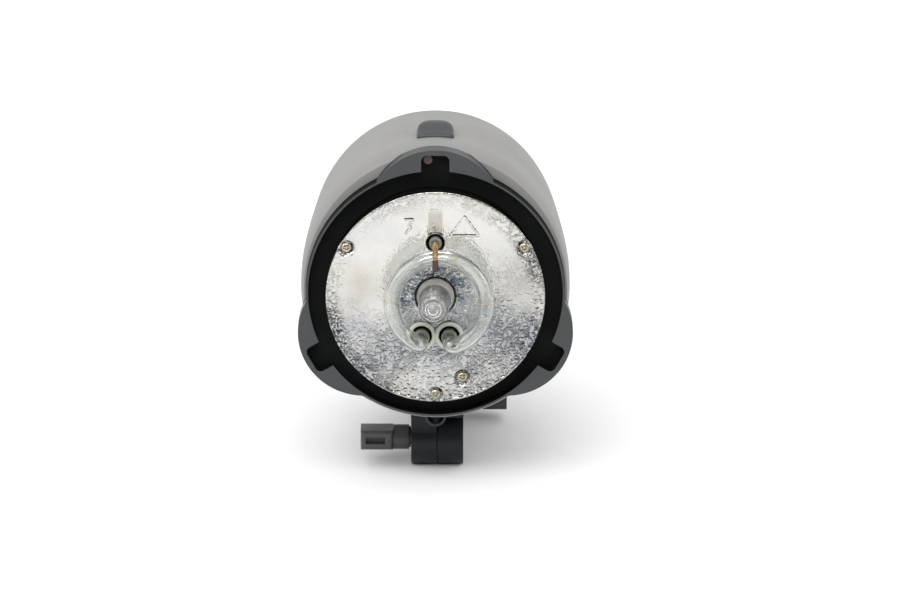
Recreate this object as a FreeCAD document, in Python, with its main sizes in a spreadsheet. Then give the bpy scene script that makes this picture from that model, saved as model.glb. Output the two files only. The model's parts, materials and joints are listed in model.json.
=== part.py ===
import FreeCAD, Part
import Sketcher
import math
import os
import re
import sys

# Monolight strobe lying on its folded tilt bracket.
# +Z is up, the lamp faces -Y and +X is the operator's left when standing behind it.
# The origin is on the table, under the middle of the whole object.
# "Depth" is the distance behind the front face of the bayonet lobes, along +Y.

DIMENSIONS = {
    # overall layout
    "axis_height": 112.0,        # lamp axis above the table
    "front_y": -97.6,            # Y of the lobe faces, which centres the object on the origin
    "pivot_depth": 62.0,         # tilt axis behind the lobe faces
    "pivot_height": 14.0,        # tilt axis above the table
    # bayonet ring
    "ring_radius": 66.5,
    "ring_bore": 65.4,
    "lobe_radius": 34.0,
    "lobe_offset": 42.5,
    "ring_depth": 9.0,
    "ring_floor": 2.0,
    "lobe_face": 2.5,
    "lobe_wall": 2.8,
    "notch_width": 14.5,
    "notch_reach": 73.6,
    # drum and reflector plate
    "drum_radius": 54.6,
    "drum_wall": 3.0,
    "drum_flange": 57.5,
    "plate_lead": 6.0,           # plate in front of the lobe faces
    "plate_radius": 56.2,
    "plate_thick": 0.8,
    "plate_screw_circle": 52.6,
    "earth_screw_side": 13.8,
    "earth_screw_drop": 43.4,
    # casing
    "wall": 2.6,
    "seam_depth": 74.0,
    "seam_step": 0.9,
    "bulkhead_front": 9.0,
    "bulkhead_back": 12.0,
    "case_length": 222.0,
    # flash tube, trigger and modelling lamp
    "tube_circle": 24.2,
    "tube_shift": 2.0,           # the glass ring is bent a little to the right of the lamp axis
    "tube_lift": 0.6,
    "tube_radius": 4.2,
    "tube_lead": 13.0,           # tube centre line in front of the plate
    "leg_radius": 3.4,
    "leg_spread": 7.1,
    "leg_sag": 0.75,             # the legs hang a little low in their holes
    "leg_drop": 20.7,
    "leg_hole": 5.4,
    "trigger_rise": 28.8,
    "trigger_hole": 4.7,
    "trigger_wire": 1.5,
    "bulb_radius": 8.0,
    "bulb_lead": 24.0,           # lamp tip in front of the plate
    "bulb_lean": 2.7,            # degrees towards -X
    "lamp_hole": 10.4,
    # release slide
    "pin_radius": 2.3,
    "pin_side": -3.8,
    "pin_rise": 70.6,
    "button_width": 19.0,
    "button_length": 17.0,
    "button_tall": 5.0,
    "button_depth": 26.0,
    "release_travel": 5.0,
    # tilt bracket
    "bracket_side": 0.8,         # parting plane between the two knuckles
    "knuckle_radius": 14.0,
    "knuckle_width": 13.3,
    "knuckle_gap": 0.3,
    "bolt_radius": 4.0,
    "bolt_fit": 0.08,
    "arm_length": 95.0,          # tilt axis to the open end of the stand socket
    "spigot_bore": 8.1,
    "spigot_depth": 45.0,
    "clamp_reach": 76.0,         # tilt axis to the clamp screw
    "umbrella_bore": 4.2,
    "umbrella_wall": 1.3,
    "umbrella_height": 34.3,
    "umbrella_length": 58.0,
    # rear panel
    "panel_thick": 2.5,
    "panel_inset": 1.0,
    "key_radius": 3.6,
    "key_gap": 0.15,
    "jack_bore": 1.8,
}

doc = FreeCAD.newDocument("monolight")
sheet = doc.addObject("Spreadsheet::Sheet", "Dims")
for row, (alias, value) in enumerate(DIMENSIONS.items(), start=1):
    sheet.set("A%d" % row, alias)
    sheet.set("B%d" % row, str(value))
    sheet.setAlias("B%d" % row, alias)
doc.recompute()

V = FreeCAD.Vector
NODES = []                       # finished sub-parts, in the order they are made

# Rotations that carry a +Z cylinder to another direction.
TURN = {
    "+Z": FreeCAD.Rotation(),
    "-Z": FreeCAD.Rotation(V(1, 0, 0), 180),
    "+Y": FreeCAD.Rotation(V(1, 0, 0), -90),
    "-Y": FreeCAD.Rotation(V(1, 0, 0), 90),
    "+X": FreeCAD.Rotation(V(0, 1, 0), 90),
    "-X": FreeCAD.Rotation(V(0, 1, 0), -90),
}


def dim(alias):
    """The number held in one cell of the sheet."""
    return float(sheet.get(alias))


def linked(formula):
    """A formula with each alias pointing at its cell, as setExpression wants it."""
    def swap(match):
        word = match.group()
        return "Dims." + word if word in DIMENSIONS else word
    return re.sub(r"[A-Za-z_]\w*", swap, str(formula))


def bind(obj, **formulas):
    for prop, formula in formulas.items():
        obj.setExpression(prop, linked(formula))


def place(obj, side, depth, rise, toward="+Z"):
    """Put an object at side (X), depth behind the lobe faces and rise above the lamp axis."""
    obj.Placement = FreeCAD.Placement(V(), TURN[toward])
    obj.setExpression(".Placement.Base.x", linked(side))
    obj.setExpression(".Placement.Base.y", linked("front_y + (%s)" % depth))
    obj.setExpression(".Placement.Base.z", linked("axis_height + (%s)" % rise))
    return obj


def finish(obj, node=None):
    """Register a finished sub-part under its own label."""
    obj.Label = node or obj.Name
    NODES.append(obj)
    return obj


def rod(name, radius, length, side="0", depth="0", rise="0", toward="+Y"):
    obj = doc.addObject("Part::Cylinder", name)
    bind(obj, Radius=radius, Height=length)
    return place(obj, side, depth, rise, toward)


def block(name, width, length, height, side="0", depth="0", rise="0"):
    """A box centred on side, starting at depth, with its underside at rise."""
    obj = doc.addObject("Part::Box", name)
    bind(obj, Length=width, Width=length, Height=height)
    return place(obj, "(%s) - (%s) / 2" % (side, width), depth, rise)


def ball(name, radius, side, depth, rise):
    obj = doc.addObject("Part::Sphere", name)
    bind(obj, Radius=radius)
    return place(obj, side, depth, rise)


def fuse(name, shapes):
    obj = doc.addObject("Part::MultiFuse", name)
    obj.Shapes = list(shapes)
    obj.Refine = True
    return obj


def cut(name, base, *tools):
    obj = doc.addObject("Part::Cut", name)
    obj.Base = base
    obj.Tool = tools[0] if len(tools) == 1 else fuse(name + "_tools", tools)
    return obj


def common(name, shapes):
    obj = doc.addObject("Part::MultiCommon", name)
    obj.Shapes = list(shapes)
    return obj


def group(name, solids):
    """Several equal solids kept apart in one node."""
    obj = doc.addObject("Part::Compound", name)
    obj.Links = list(solids)
    return obj


def pipe(name, outer, inner, length, side="0", depth="0", rise="0", toward="+Y"):
    outside = rod(name + "_outside", outer, length, side, depth, rise, toward)
    inside = rod(name + "_inside", inner, length, side, depth, rise, toward)
    return cut(name, outside, inside)


def rounded(name, base, radius, edges):
    """Round the named edges (numbered from 1) of a finished shape."""
    obj = doc.addObject("Part::Fillet", name)
    obj.Base = base
    obj.Edges = [(edge, radius, radius) for edge in edges]
    return obj


def loose_shape(name, shape):
    """A sub-part whose form is worked out with Part's own functions."""
    obj = doc.addObject("Part::Feature", name)
    obj.Shape = shape
    return obj


# ---- PartDesign helpers -------------------------------------------------------------------

def new_body(name, side, depth, rise, toward):
    body = doc.addObject("PartDesign::Body", name)
    return place(body, side, depth, rise, toward)


def plane_of(body, role):
    return next(item for item in body.Origin.OriginFeatures if item.Role == role)


def new_sketch(body, name, role="XY_Plane", lift="0"):
    sketch = body.newObject("Sketcher::SketchObject", name)
    sketch.AttachmentSupport = [(plane_of(body, role), "")]
    sketch.MapMode = "FlatFace"
    sketch.setExpression(".AttachmentOffset.Base.z", linked(lift))
    return sketch


def drive(sketch, constraint, name, formula):
    index = sketch.addConstraint(constraint)
    sketch.renameConstraint(index, name)
    sketch.setExpression("Constraints." + name, linked(formula))


def circle_at(sketch, label, radius, across="0", along="0"):
    """A circle whose radius and centre are driven by the sheet."""
    geo = sketch.addGeometry(Part.Circle(V(1, 1, 0), V(0, 0, 1), 2.0), False)
    drive(sketch, Sketcher.Constraint("Radius", geo, 2.0), label + "_radius", radius)
    drive(sketch, Sketcher.Constraint("DistanceX", -1, 1, geo, 3, 1.0), label + "_across", across)
    drive(sketch, Sketcher.Constraint("DistanceY", -1, 1, geo, 3, 1.0), label + "_along", along)


def polygon(sketch, corners):
    """A closed outline whose corners are pairs of formulas."""
    count = len(corners)
    spots = [V(math.cos(2 * math.pi * i / count), math.sin(2 * math.pi * i / count), 0) for i in range(count)]
    for i in range(count):
        sketch.addGeometry(Part.LineSegment(spots[i], spots[(i + 1) % count]), False)
    for i in range(count):
        sketch.addConstraint(Sketcher.Constraint("Coincident", i, 2, (i + 1) % count, 1))
    for i, (across, along) in enumerate(corners):
        drive(sketch, Sketcher.Constraint("DistanceX", -1, 1, i, 1, spots[i].x), "across%d" % i, across)
        drive(sketch, Sketcher.Constraint("DistanceY", -1, 1, i, 1, spots[i].y), "along%d" % i, along)


def pad(body, name, sketch, length):
    feature = body.newObject("PartDesign::Pad", name)
    feature.Profile = sketch
    bind(feature, Length=length)
    sketch.Visibility = False
    return feature


def pocket(body, name, sketch, length, reverse=False):
    feature = body.newObject("PartDesign::Pocket", name)
    feature.Profile = sketch
    feature.Reversed = reverse
    bind(feature, Length=length)
    sketch.Visibility = False
    return feature


def repeat_round(body, name, feature, count):
    """Repeat a feature evenly about the body's own Z axis."""
    pattern = body.newObject("PartDesign::PolarPattern", name)
    pattern.Originals = [feature]
    pattern.Axis = (plane_of(body, "Z_Axis"), [""])
    pattern.Angle = 360
    pattern.Occurrences = count
    body.Tip = pattern
    return pattern


def turned(name, profile, side="0", depth="0", rise="0", toward="+Y"):
    """A lathe-made piece: profile corners are (radius, distance along the axis)."""
    body = new_body(name, side, depth, rise, toward)
    sketch = new_sketch(body, name + "_profile", "XZ_Plane")
    polygon(sketch, profile)
    spin = body.newObject("PartDesign::Revolution", name + "_turning")
    spin.Profile = sketch
    spin.ReferenceAxis = (sketch, ["V_Axis"])
    spin.Angle = 360
    sketch.Visibility = False
    return body


# ---- small geometric helpers --------------------------------------------------------------

def find_edges(obj, test):
    """Numbers of the edges of a shape that pass a test, counted from 1."""
    doc.recompute()
    return [i for i, edge in enumerate(obj.Shape.Edges, start=1) if test(edge)]


def runs_along(edge, axis):
    """True for a straight edge parallel to an axis."""
    if edge.Curve.TypeId != "Part::GeomLine":
        return False
    return abs(abs(edge.Curve.Direction.dot(axis)) - 1) < 1e-6


def spoke(name, width, inner, outer, depth, length, degrees):
    """A block that points outwards from the lamp axis at an angle from +X towards +Z."""
    obj = doc.addObject("Part::Box", name)
    bind(obj, Length="(%s) - (%s)" % (outer, inner), Width=length, Height=width)
    side = "(%s) * cos(%g deg) + (%s) / 2 * sin(%g deg)" % (inner, degrees, width, degrees)
    rise = "(%s) * sin(%g deg) - (%s) / 2 * cos(%g deg)" % (inner, degrees, width, degrees)
    place(obj, side, depth, rise)
    obj.Placement.Rotation = FreeCAD.Rotation(V(0, 1, 0), -degrees)
    return obj


def polar(radius, degrees):
    """Formulas for the side and rise of a point around the lamp axis."""
    return "(%s) * cos(%g deg)" % (radius, degrees), "(%s) * sin(%g deg)" % (radius, degrees)


LOBE_ANGLES = (90, 210, 330)
SCREW_ANGLES = (30, 150, 270)


# ---- bayonet ring -------------------------------------------------------------------------

def lobed_outline(name, grow, depth, length, blend):
    """Disc with three round lobes, blended where they meet."""
    parts = [rod(name + "_disc", "ring_radius + %g" % grow, length, "0", depth, "0")]
    for degrees in LOBE_ANGLES:
        side, rise = polar("lobe_offset", degrees)
        lobe_name = "%s_lobe%d" % (name, degrees)
        parts.append(rod(lobe_name, "lobe_radius + %g" % grow, length, side, depth, rise))
    merged = fuse(name + "_merged", parts)
    inner_corners = find_edges(merged, lambda edge: runs_along(edge, V(0, 1, 0))
                               and edge.BoundBox.ZLength < 0.01
                               and abs(math.hypot(edge.CenterOfMass.x,
                                                  edge.CenterOfMass.z - dim("axis_height"))
                                       - dim("ring_radius") - grow) < 0.01)
    return rounded(name, merged, blend, inner_corners)


def make_bayonet_ring():
    outline = lobed_outline("ring_outline", 0.0, "0", "ring_depth", 5.0)
    tools = [rod("ring_channel", "ring_bore", "ring_depth - ring_floor + 1", "0", "-1", "0"),
             rod("ring_through", "drum_radius + 0.4", "ring_depth + 2", "0", "-1", "0"),
             rod("ring_pin_hole", "pin_radius + 0.15", "ring_depth + 2", "pin_side", "-1", "pin_rise")]
    for degrees in LOBE_ANGLES:
        side, rise = polar("lobe_offset", degrees)
        tools.append(rod("lug_space%d" % degrees, "lobe_radius - lobe_wall",
                         "ring_depth - ring_floor - lobe_face", side, "lobe_face", rise))
        slot = spoke("notch_block%d" % degrees, "notch_width", "60", "notch_reach", "-1",
                     "lobe_face + 2", degrees)
        outward = V(math.cos(math.radians(degrees)), 0, math.sin(math.radians(degrees)))
        middle = V(0, 0, dim("axis_height")) + outward * 65
        outer_corners = find_edges(slot, lambda edge: runs_along(edge, V(0, 1, 0))
                                   and (edge.CenterOfMass - middle).dot(outward) > 0)
        tools.append(rounded("notch%d" % degrees, slot, 3.0, outer_corners))
    finish(cut("bayonet_ring", outline, *tools))


# ---- casing -------------------------------------------------------------------------------

# Stations along the casing: depth, half width, height above and below the lamp axis, and how
# square the oval is (2 is an ellipse).
FRONT_STATIONS = [
    (7.2, 67.7, 72.6, 68.8, 2.0),
    (11.0, 69.0, 75.4, 70.2, 2.0),
    (18.0, 69.3, 76.6, 70.6, 2.0),
    (30.0, 69.2, 76.5, 70.4, 2.0),
    (50.0, 67.8, 76.9, 69.4, 2.04),
    (74.0, 65.6, 76.4, 67.4, 2.08),
]
REAR_STATIONS = [
    (74.0, 65.6, 76.4, 67.4, 2.08),
    (84.0, 64.3, 74.6, 67.2, 2.08),
    (100.0, 62.0, 69.4, 67.0, 2.1),
    (130.0, 57.6, 58.6, 65.8, 2.12),
    (165.0, 51.8, 44.4, 62.8, 2.2),
    (200.0, 47.2, 33.0, 58.4, 2.3),
    (222.0, 44.0, 25.5, 55.0, 2.4),
]
OVAL_STEPS = 32


def power(value, exponent):
    return math.copysign(abs(value) ** exponent, value)


def oval(station, inset=0.0):
    """Closed curve of one station, drawn inwards by an inset."""
    depth, half_width, top, bottom, square = station
    points = []
    for step in range(OVAL_STEPS):
        angle = 2 * math.pi * step / OVAL_STEPS
        up = top if math.sin(angle) > 0 else bottom
        side = power(math.cos(angle), 2 / square) * (half_width - inset)
        rise = power(math.sin(angle), 2 / square) * (up - inset)
        points.append(V(side, dim("front_y") + depth, dim("axis_height") + rise))
    curve = Part.BSplineCurve()
    curve.interpolate(Points=points, PeriodicFlag=True)
    return Part.Wire(curve.toShape())


def slope(stations, i, item):
    """Rate of change of one size at a station, taken across its neighbours."""
    low, high = max(i - 1, 0), min(i + 1, len(stations) - 1)
    return (stations[high][item] - stations[low][item]) / (stations[high][0] - stations[low][0])


def station_at(stations, depth):
    """Sizes between the stations on smooth cubic curves, and straight on past the ends."""
    if depth <= stations[0][0] or depth >= stations[-1][0]:
        end = 0 if depth <= stations[0][0] else len(stations) - 1
        reach = depth - stations[end][0]
        sizes = [stations[end][item] + slope(stations, end, item) * reach for item in range(1, 5)]
        return (depth, *sizes)
    i = max(k for k in range(len(stations) - 1) if stations[k][0] <= depth)
    span = stations[i + 1][0] - stations[i][0]
    u = (depth - stations[i][0]) / span
    sizes = []
    for item in range(1, 5):
        start, stop = stations[i][item], stations[i + 1][item]
        rise_in, rise_out = slope(stations, i, item) * span, slope(stations, i + 1, item) * span
        sizes.append(start * (1 + 2 * u) * (1 - u) ** 2 + rise_in * u * (1 - u) ** 2
                     + stop * u * u * (3 - 2 * u) + rise_out * u * u * (u - 1))
    return (depth, *sizes)


def casing_solid(name, stations, first, last, count, inset):
    """Loft through evenly spaced ovals between two depths."""
    depths = [first + (last - first) * i / (count - 1) for i in range(count)]
    ovals = [oval(station_at(stations, depth), inset) for depth in depths]
    return loose_shape(name, Part.makeLoft(ovals, True, False))


def front_outside(name):
    return casing_solid(name, FRONT_STATIONS, FRONT_STATIONS[0][0], dim("seam_depth"), 14, 0.0)


def rear_outside(name):
    return casing_solid(name, REAR_STATIONS, dim("seam_depth"), dim("case_length"), 12, dim("seam_step"))


def make_front_shell():
    inside = casing_solid("front_inside", FRONT_STATIONS, dim("bulkhead_back"), dim("seam_depth") + 1, 14,
                          dim("wall"))
    tools = [inside,
             lobed_outline("ring_seat", 0.15, "3", "bulkhead_front - 3", 4.85),
             rod("bulkhead_hole", "drum_radius + 0.4", "20", "0", "0", "0"),
             rod("bulkhead_pin_hole", "pin_radius + 0.15", "20", "pin_side", "0", "pin_rise"),
             block("button_slot", "9", "9 + release_travel", "20", "0", "button_depth + 3", "65"),
             block("yoke_window", "18", "16", "12", "0", "pivot_depth - 8", "-76")]
    for i in range(6):
        tools.append(block("front_vent%d" % i, "22", "2.4", "12", "0", "%g" % (20 + 5 * i), "-76"))
    finish(cut("front_shell", front_outside("front_outline"), *tools))


def make_rear_shell():
    inside = casing_solid("rear_inside", REAR_STATIONS, dim("seam_depth") - 1, dim("case_length") + 1, 12,
                          dim("seam_step") + dim("wall"))
    tools = [inside]
    for i in range(9):
        depth = "%g" % (92 + 6 * i)
        tools.append(block("side_vent%d" % i, "160", "2.6", "26", "0", depth, "-34"))
        tools.append(block("under_vent%d" % i, "44", "2.6", "20", "0", depth, "-76"))
    finish(cut("rear_shell", rear_outside("rear_outline"), *tools))


def make_rear_panel():
    """Flat panel inside the back rim, with an opening for each control."""
    gap = dim("seam_step") + dim("wall") + 0.2
    front = dim("case_length") - dim("panel_inset") - dim("panel_thick")
    rim = (front,) + REAR_STATIONS[-1][1:]
    blank = Part.Face(oval(rim, gap)).extrude(V(0, dim("panel_thick"), 0))
    plate = loose_shape("panel_blank", blank)
    tools = [block("display_hole", "26", "20", "11", "0", "210", "5"),
             block("rocker_hole", "13.4", "20", "19.4", "-21", "210", "-37.7"),
             block("inlet_hole", "27.4", "20", "20", "8", "210", "-41"),
             rod("photocell_hole", "3.2", "20", "24", "210", "9"),
             rod("jack_hole", "3.1", "20", "-24", "210", "9"),
             rod("fuse_hole", "5.1", "20", "30", "210", "-22")]
    for name, side in KEYS:
        tools.append(rod(name + "_hole", "key_radius + key_gap", "20", "%g" % side, "210", "-8"))
    finish(cut("rear_panel", plate, *tools))


KEYS = [("flash_down_key", -24.0), ("flash_up_key", -12.0), ("lamp_key", 0.0),
        ("cell_key", 12.0), ("test_key", 24.0)]


# ---- drum, reflector plate and what stands on it ---------------------------------------------

def make_drum():
    """Black can that carries the plate, with a flange behind the bulkhead."""
    front = "-(plate_lead - plate_thick)"
    reach = "bulkhead_back + plate_lead - plate_thick"
    can = turned("drum_can", [
        ("drum_radius - drum_wall", "0"),
        ("drum_radius", "0"),
        ("drum_radius", reach),
        ("drum_flange", reach),
        ("drum_flange", reach + " + 3"),
        ("drum_radius - drum_wall", reach + " + 3"),
    ], depth=front)
    holes = []
    for degrees in SCREW_ANGLES:
        side, rise = polar("plate_screw_circle", degrees)
        holes.append(rod("drum_screw_hole%d" % degrees, "1.5", "12", side, front + " - 1", rise))
    finish(cut("light_drum", can, *holes))


def make_reflector_plate():
    body = new_body("reflector_plate", "0", "-plate_lead", "0", "+Y")
    disc = new_sketch(body, "plate_disc")
    circle_at(disc, "rim", "plate_radius")
    pad(body, "plate_pad", disc, "plate_thick")
    holes = new_sketch(body, "plate_holes")
    circle_at(holes, "lamp", "lamp_hole")
    circle_at(holes, "trigger", "trigger_hole", "0", "-trigger_rise")
    for label, sign in (("left", "-"), ("right", "")):
        circle_at(holes, label + "_leg", "leg_hole", sign + "leg_spread", "leg_drop")
    for name, side, rise, _ in plate_screw_places():
        circle_at(holes, name, "1.6", side, "-(%s)" % rise)
    pocket(body, "plate_piercing", holes, "plate_thick + 1", reverse=True)
    finish(body)


def plate_screw_places():
    """Name, side, rise and shank length of the three rim screws and the earth screw."""
    rim = [("screw%d" % degrees,) + polar("plate_screw_circle", degrees) + ("9",)
           for degrees in SCREW_ANGLES]
    return rim + [("earth_screw", "earth_screw_side", "-earth_screw_drop", "4")]


def make_plate_screws():
    """Slotted pan-head screws: three into the pillars, and the earth screw with its nut."""
    screws = []
    for name, side, rise, length in plate_screw_places():
        head = rod(name + "_head", "2.65", "1.6", side, "-plate_lead - 1.6", rise)
        shank = rod(name + "_shank", "1.4", length, side, "-plate_lead - 0.1", rise)
        groove = block(name + "_groove", "3", "1.9", "0.7", side, "-plate_lead - 2.6", "%s - 0.35" % rise)
        screws.append(cut(name, fuse(name + "_solid", [head, shank]), groove))
    nut = rod("earth_nut", "2.6", "2", "earth_screw_side", "-plate_lead + plate_thick", "-earth_screw_drop")
    screws[-1] = fuse("earth_fixing", [screws[-1], nut])
    finish(group("plate_screws", screws))


def make_screw_bosses():
    """Three tapped pillars that tie the plate to the socket carrier."""
    pillars = []
    for degrees in SCREW_ANGLES:
        side, rise = polar("plate_screw_circle - 3.4", degrees)
        hole_side, hole_rise = polar("plate_screw_circle", degrees)
        name = "pillar%d" % degrees
        lug = spoke(name + "_lug", "7", "44", "plate_screw_circle + 2.6", "-plate_lead + plate_thick",
                    "9.5", degrees)
        drum = rod(name + "_drum", "drum_radius - drum_wall", "9.5", "0", "-plate_lead + plate_thick", "0")
        hole = rod(name + "_hole", "1.45", "12", hole_side, "-plate_lead", hole_rise)
        pillars.append(cut(name, common(name + "_trim", [lug, drum]), hole))
    finish(group("plate_pillars", pillars))


def make_socket_carrier():
    """Insulating disc inside the drum that holds the lamp and tube sockets."""
    disc = rod("carrier_disc", "drum_radius - drum_wall - 0.1", "4", "0", "10", "0")
    tools = [rod("carrier_lamp_hole", "13.1", "6", "0", "9", "0"),
             rod("carrier_trigger_hole", "3.3", "6", "0", "9", "trigger_rise")]
    for label, sign in (("left", "-"), ("right", "")):
        tools.append(rod("carrier_leg_hole_" + label, "5.7", "6", sign + "leg_spread", "9", "-leg_drop - leg_sag"))
    finish(cut("socket_carrier", disc, *tools))


def make_modelling_lamp():
    """Capsule bulb on a screw base, leaning a little to the left."""
    lean = FreeCAD.Rotation(V(0, 0, 1), -dim("bulb_lean"))
    seat = V(0, dim("front_y") + 16, dim("axis_height"))
    tip = 16 + dim("plate_lead") + dim("bulb_lead")
    radius = dim("bulb_radius")

    def leaning(solid):
        solid.Placement = FreeCAD.Placement(seat, lean).multiply(FreeCAD.Placement(V(), TURN["-Y"]))
        return solid

    neck = tip - radius
    glass = Part.makeCylinder(radius, neck - 12, V(0, 0, 12)).fuse(Part.makeSphere(radius, V(0, 0, neck)))
    base = Part.makeCylinder(radius - 1.2, 11.9)
    finish(loose_shape("modelling_lamp", leaning(glass.removeSplitter())))
    finish(loose_shape("lamp_base", leaning(base)))


def make_lamp_socket():
    finish(turned("lamp_socket", [
        ("0", "34"),
        ("0", "15"),
        ("9.6", "15"),
        ("9.6", "0"),
        ("13", "0"),
        ("13", "34"),
    ], depth="3"))


def make_flash_tube():
    """Ring of glass, open at the bottom, with two legs going back through the plate."""
    plate = dim("front_y") - dim("plate_lead")
    circle, radius, thin = dim("tube_circle"), dim("tube_radius"), dim("leg_radius")
    centre = V(dim("tube_shift"), plate - dim("tube_lead"), dim("axis_height") + dim("tube_lift"))
    corners, turns = [], []
    for sign in (-1, 1):
        across = sign * dim("leg_spread") - dim("tube_shift")
        corners.append(centre + V(across, 0, -math.sqrt(circle ** 2 - across ** 2)))
        turns.append(math.degrees(math.asin(across / circle)))
    ring = Part.makeTorus(circle, radius, V(), V(0, 0, 1), 0, 360, 360 - turns[1] + turns[0])
    outward = corners[1] - centre
    ring.Placement = FreeCAD.Placement(centre, FreeCAD.Rotation(outward, V(), V(0, -1, 0), "ZXY"))
    solid = ring
    for sign, corner in zip((-1, 1), corners):
        foot = V(sign * dim("leg_spread"), plate, dim("axis_height") - dim("leg_drop") - dim("leg_sag"))
        front = Part.makeCylinder(thin, (corner - foot).Length, foot, corner - foot)
        back = Part.makeCylinder(thin, dim("plate_lead") + 8, foot, V(0, 1, 0))
        solid = solid.fuse([Part.makeSphere(radius, corner), front, Part.makeSphere(thin, foot), back])
    finish(loose_shape("flash_tube", solid.removeSplitter()))


def make_tube_base():
    """Ceramic collar of two joined rings round the tube's legs, and its body behind the plate."""
    rings = [rod("collar_" + label, "7.4", "1.3", sign + "leg_spread", "-plate_lead - 1.35", "-leg_drop")
             for label, sign in (("left", "-"), ("right", ""))]
    necks = [rod("collar_neck_" + label, "leg_hole - 0.15", "10", sign + "leg_spread",
                 "-plate_lead - 1.3", "-leg_drop") for label, sign in (("left", "-"), ("right", ""))]
    bores = [rod("collar_bore_" + label, "leg_radius + 0.5", "20", sign + "leg_spread",
                 "-plate_lead - 5", "-leg_drop - 0.7") for label, sign in (("left", "-"), ("right", ""))]
    finish(cut("tube_collar", fuse("collar_solid", rings + necks), *bores))


def make_tube_sockets():
    """Spring sleeves that grip the tube's legs."""
    sleeves = [pipe("sleeve_" + label, "5.6", "leg_radius + 0.1", "16", sign + "leg_spread", "6",
                    "-leg_drop - leg_sag") for label, sign in (("left", "-"), ("right", ""))]
    finish(group("tube_sockets", sleeves))


def make_trigger():
    """Ceramic post, and the coiled trigger wire that reaches over the glass ring."""
    finish(rod("trigger_post", "3.2", "20", "0", "-plate_lead - 1.6", "trigger_rise"))
    wire, plate = dim("trigger_wire"), dim("front_y") - dim("plate_lead")
    reach = dim("tube_radius") + wire + 0.25
    centre = V(0, plate - dim("tube_lead"), dim("axis_height") + dim("tube_lift") + dim("tube_circle"))
    crest = centre + V(0, 0, reach)
    foot = V(0, plate - 2, dim("axis_height") + dim("trigger_rise"))
    straight = Part.makeCylinder(wire, (crest - foot).Length, foot, crest - foot)
    bend = Part.makeTorus(reach, wire, V(), V(0, 0, 1), 0, 360, 150)
    bend.Placement = FreeCAD.Placement(centre, FreeCAD.Rotation(V(0, 0, 1), V(0, -1, 0), V(1, 0, 0), "ZXY"))
    solid = straight.fuse([Part.makeSphere(wire, crest), bend])
    finish(loose_shape("trigger_spring", solid.removeSplitter()))


# ---- release slide ---------------------------------------------------------------------------

def make_release():
    """D-shaped button, its carrier plate inside the casing roof, and the lock pin it pulls back."""
    finish(rod("lock_pin", "pin_radius", "23", "pin_side", "3", "pin_rise"))
    upstand = block("carrier_upstand", "16", "4", "8.6", "0", "22", "64.2")
    plate = block("carrier_plate", "16", "24", "2.4", "0", "22", "64.2")
    pin_seat = rod("carrier_pin_seat", "pin_radius + 0.02", "8", "pin_side", "20", "pin_rise")
    finish(cut("lock_slide", fuse("carrier_solid", [upstand, plate]), pin_seat))

    roof = "75.6 + 1.3"
    straight = "button_length - button_width / 2"
    nose = block("button_nose", "button_width", straight, "button_tall", "0", "button_depth", roof)
    tail = rod("button_tail", "button_width / 2", "button_tall", "0", "button_depth + " + straight, roof, "+Z")
    cap = fuse("button_cap", [nose, tail])
    top = dim("axis_height") + 75.6 + 1.3 + dim("button_tall")
    rim = find_edges(cap, lambda edge: edge.BoundBox.ZLength < 0.01 and edge.BoundBox.ZMin > top - 0.01
                     and edge.BoundBox.YMax > dim("front_y") + dim("button_depth") + 1)
    stem = block("button_stem", "8", "8", "75.6 + 2 - 66.6", "0", "button_depth + 3.5", "66.6")
    finish(fuse("release_button", [rounded("button_dome", cap, 3.2, rim), stem]))

    finish(pipe("release_spring", "2.2", "1.4", "7", "0", "52", "67.2"))
    finish(block("spring_stop", "14", "3", "7.4", "0", "59", "64"))


# ---- tilt bracket ----------------------------------------------------------------------------

PIVOT_RISE = "pivot_height - axis_height"
LEFT_FACE = "bracket_side - knuckle_gap - knuckle_width"
RIGHT_FACE = "bracket_side + knuckle_gap"


def knuckle(name, face, depth="pivot_depth"):
    return rod(name, "knuckle_radius", "knuckle_width", face, depth, PIVOT_RISE, "+X")


def make_head_yoke():
    """Fixed half of the bracket: left knuckle, neck and saddle under the casing."""
    neck = block("yoke_neck", "knuckle_width", "24.4", "30", LEFT_FACE + " + knuckle_width / 2",
                 "pivot_depth - 12.5", PIVOT_RISE)
    saddle = block("yoke_saddle", "27.4", "24.4", "30", "bracket_side", "pivot_depth - 12.5",
                   PIVOT_RISE + " + knuckle_radius + 0.5")
    solid = fuse("yoke_solid", [knuckle("yoke_knuckle", LEFT_FACE), neck, saddle])
    post = block("yoke_post", "17.6", "15.6", "16", "0", "pivot_depth - 7.8", "-76")
    trimmed = cut("yoke_trim", solid, front_outside("yoke_casing_seat"))
    bolt_hole = rod("yoke_bolt_hole", "bolt_radius + bolt_fit", "40", "-20", "pivot_depth", PIVOT_RISE, "+X")
    tube_hole = rod("yoke_tube_hole", "umbrella_bore + umbrella_wall + 0.05", "40", "0",
                    "pivot_depth - 20", "umbrella_height - axis_height")
    screw_hole = rod("yoke_screw_hole", "2.1", "20", "0", "pivot_depth", "umbrella_height - axis_height", "+X")
    finish(cut("head_yoke", fuse("yoke_with_post", [trimmed, post]), bolt_hole, tube_hole, screw_hole))


def make_umbrella_parts():
    outer = "umbrella_bore + umbrella_wall"
    rise = "umbrella_height - axis_height"
    tube = pipe("umbrella_pipe", outer, "umbrella_bore", "umbrella_length", "0", "34", rise)
    screw_hole = rod("umbrella_screw_hole", "2.1", "20", "0", "pivot_depth", rise, "+X")
    finish(cut("umbrella_tube", tube, screw_hole))
    finish(turned("umbrella_screw", [
        ("0", "0"),
        ("2", "0"),
        ("2", "10"),
        ("3", "10"),
        ("3", "11"),
        ("5", "11"),
        ("5", "18"),
        ("0", "18"),
    ], side="umbrella_bore + 0.5", depth="pivot_depth", rise=rise, toward="+X"))


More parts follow.
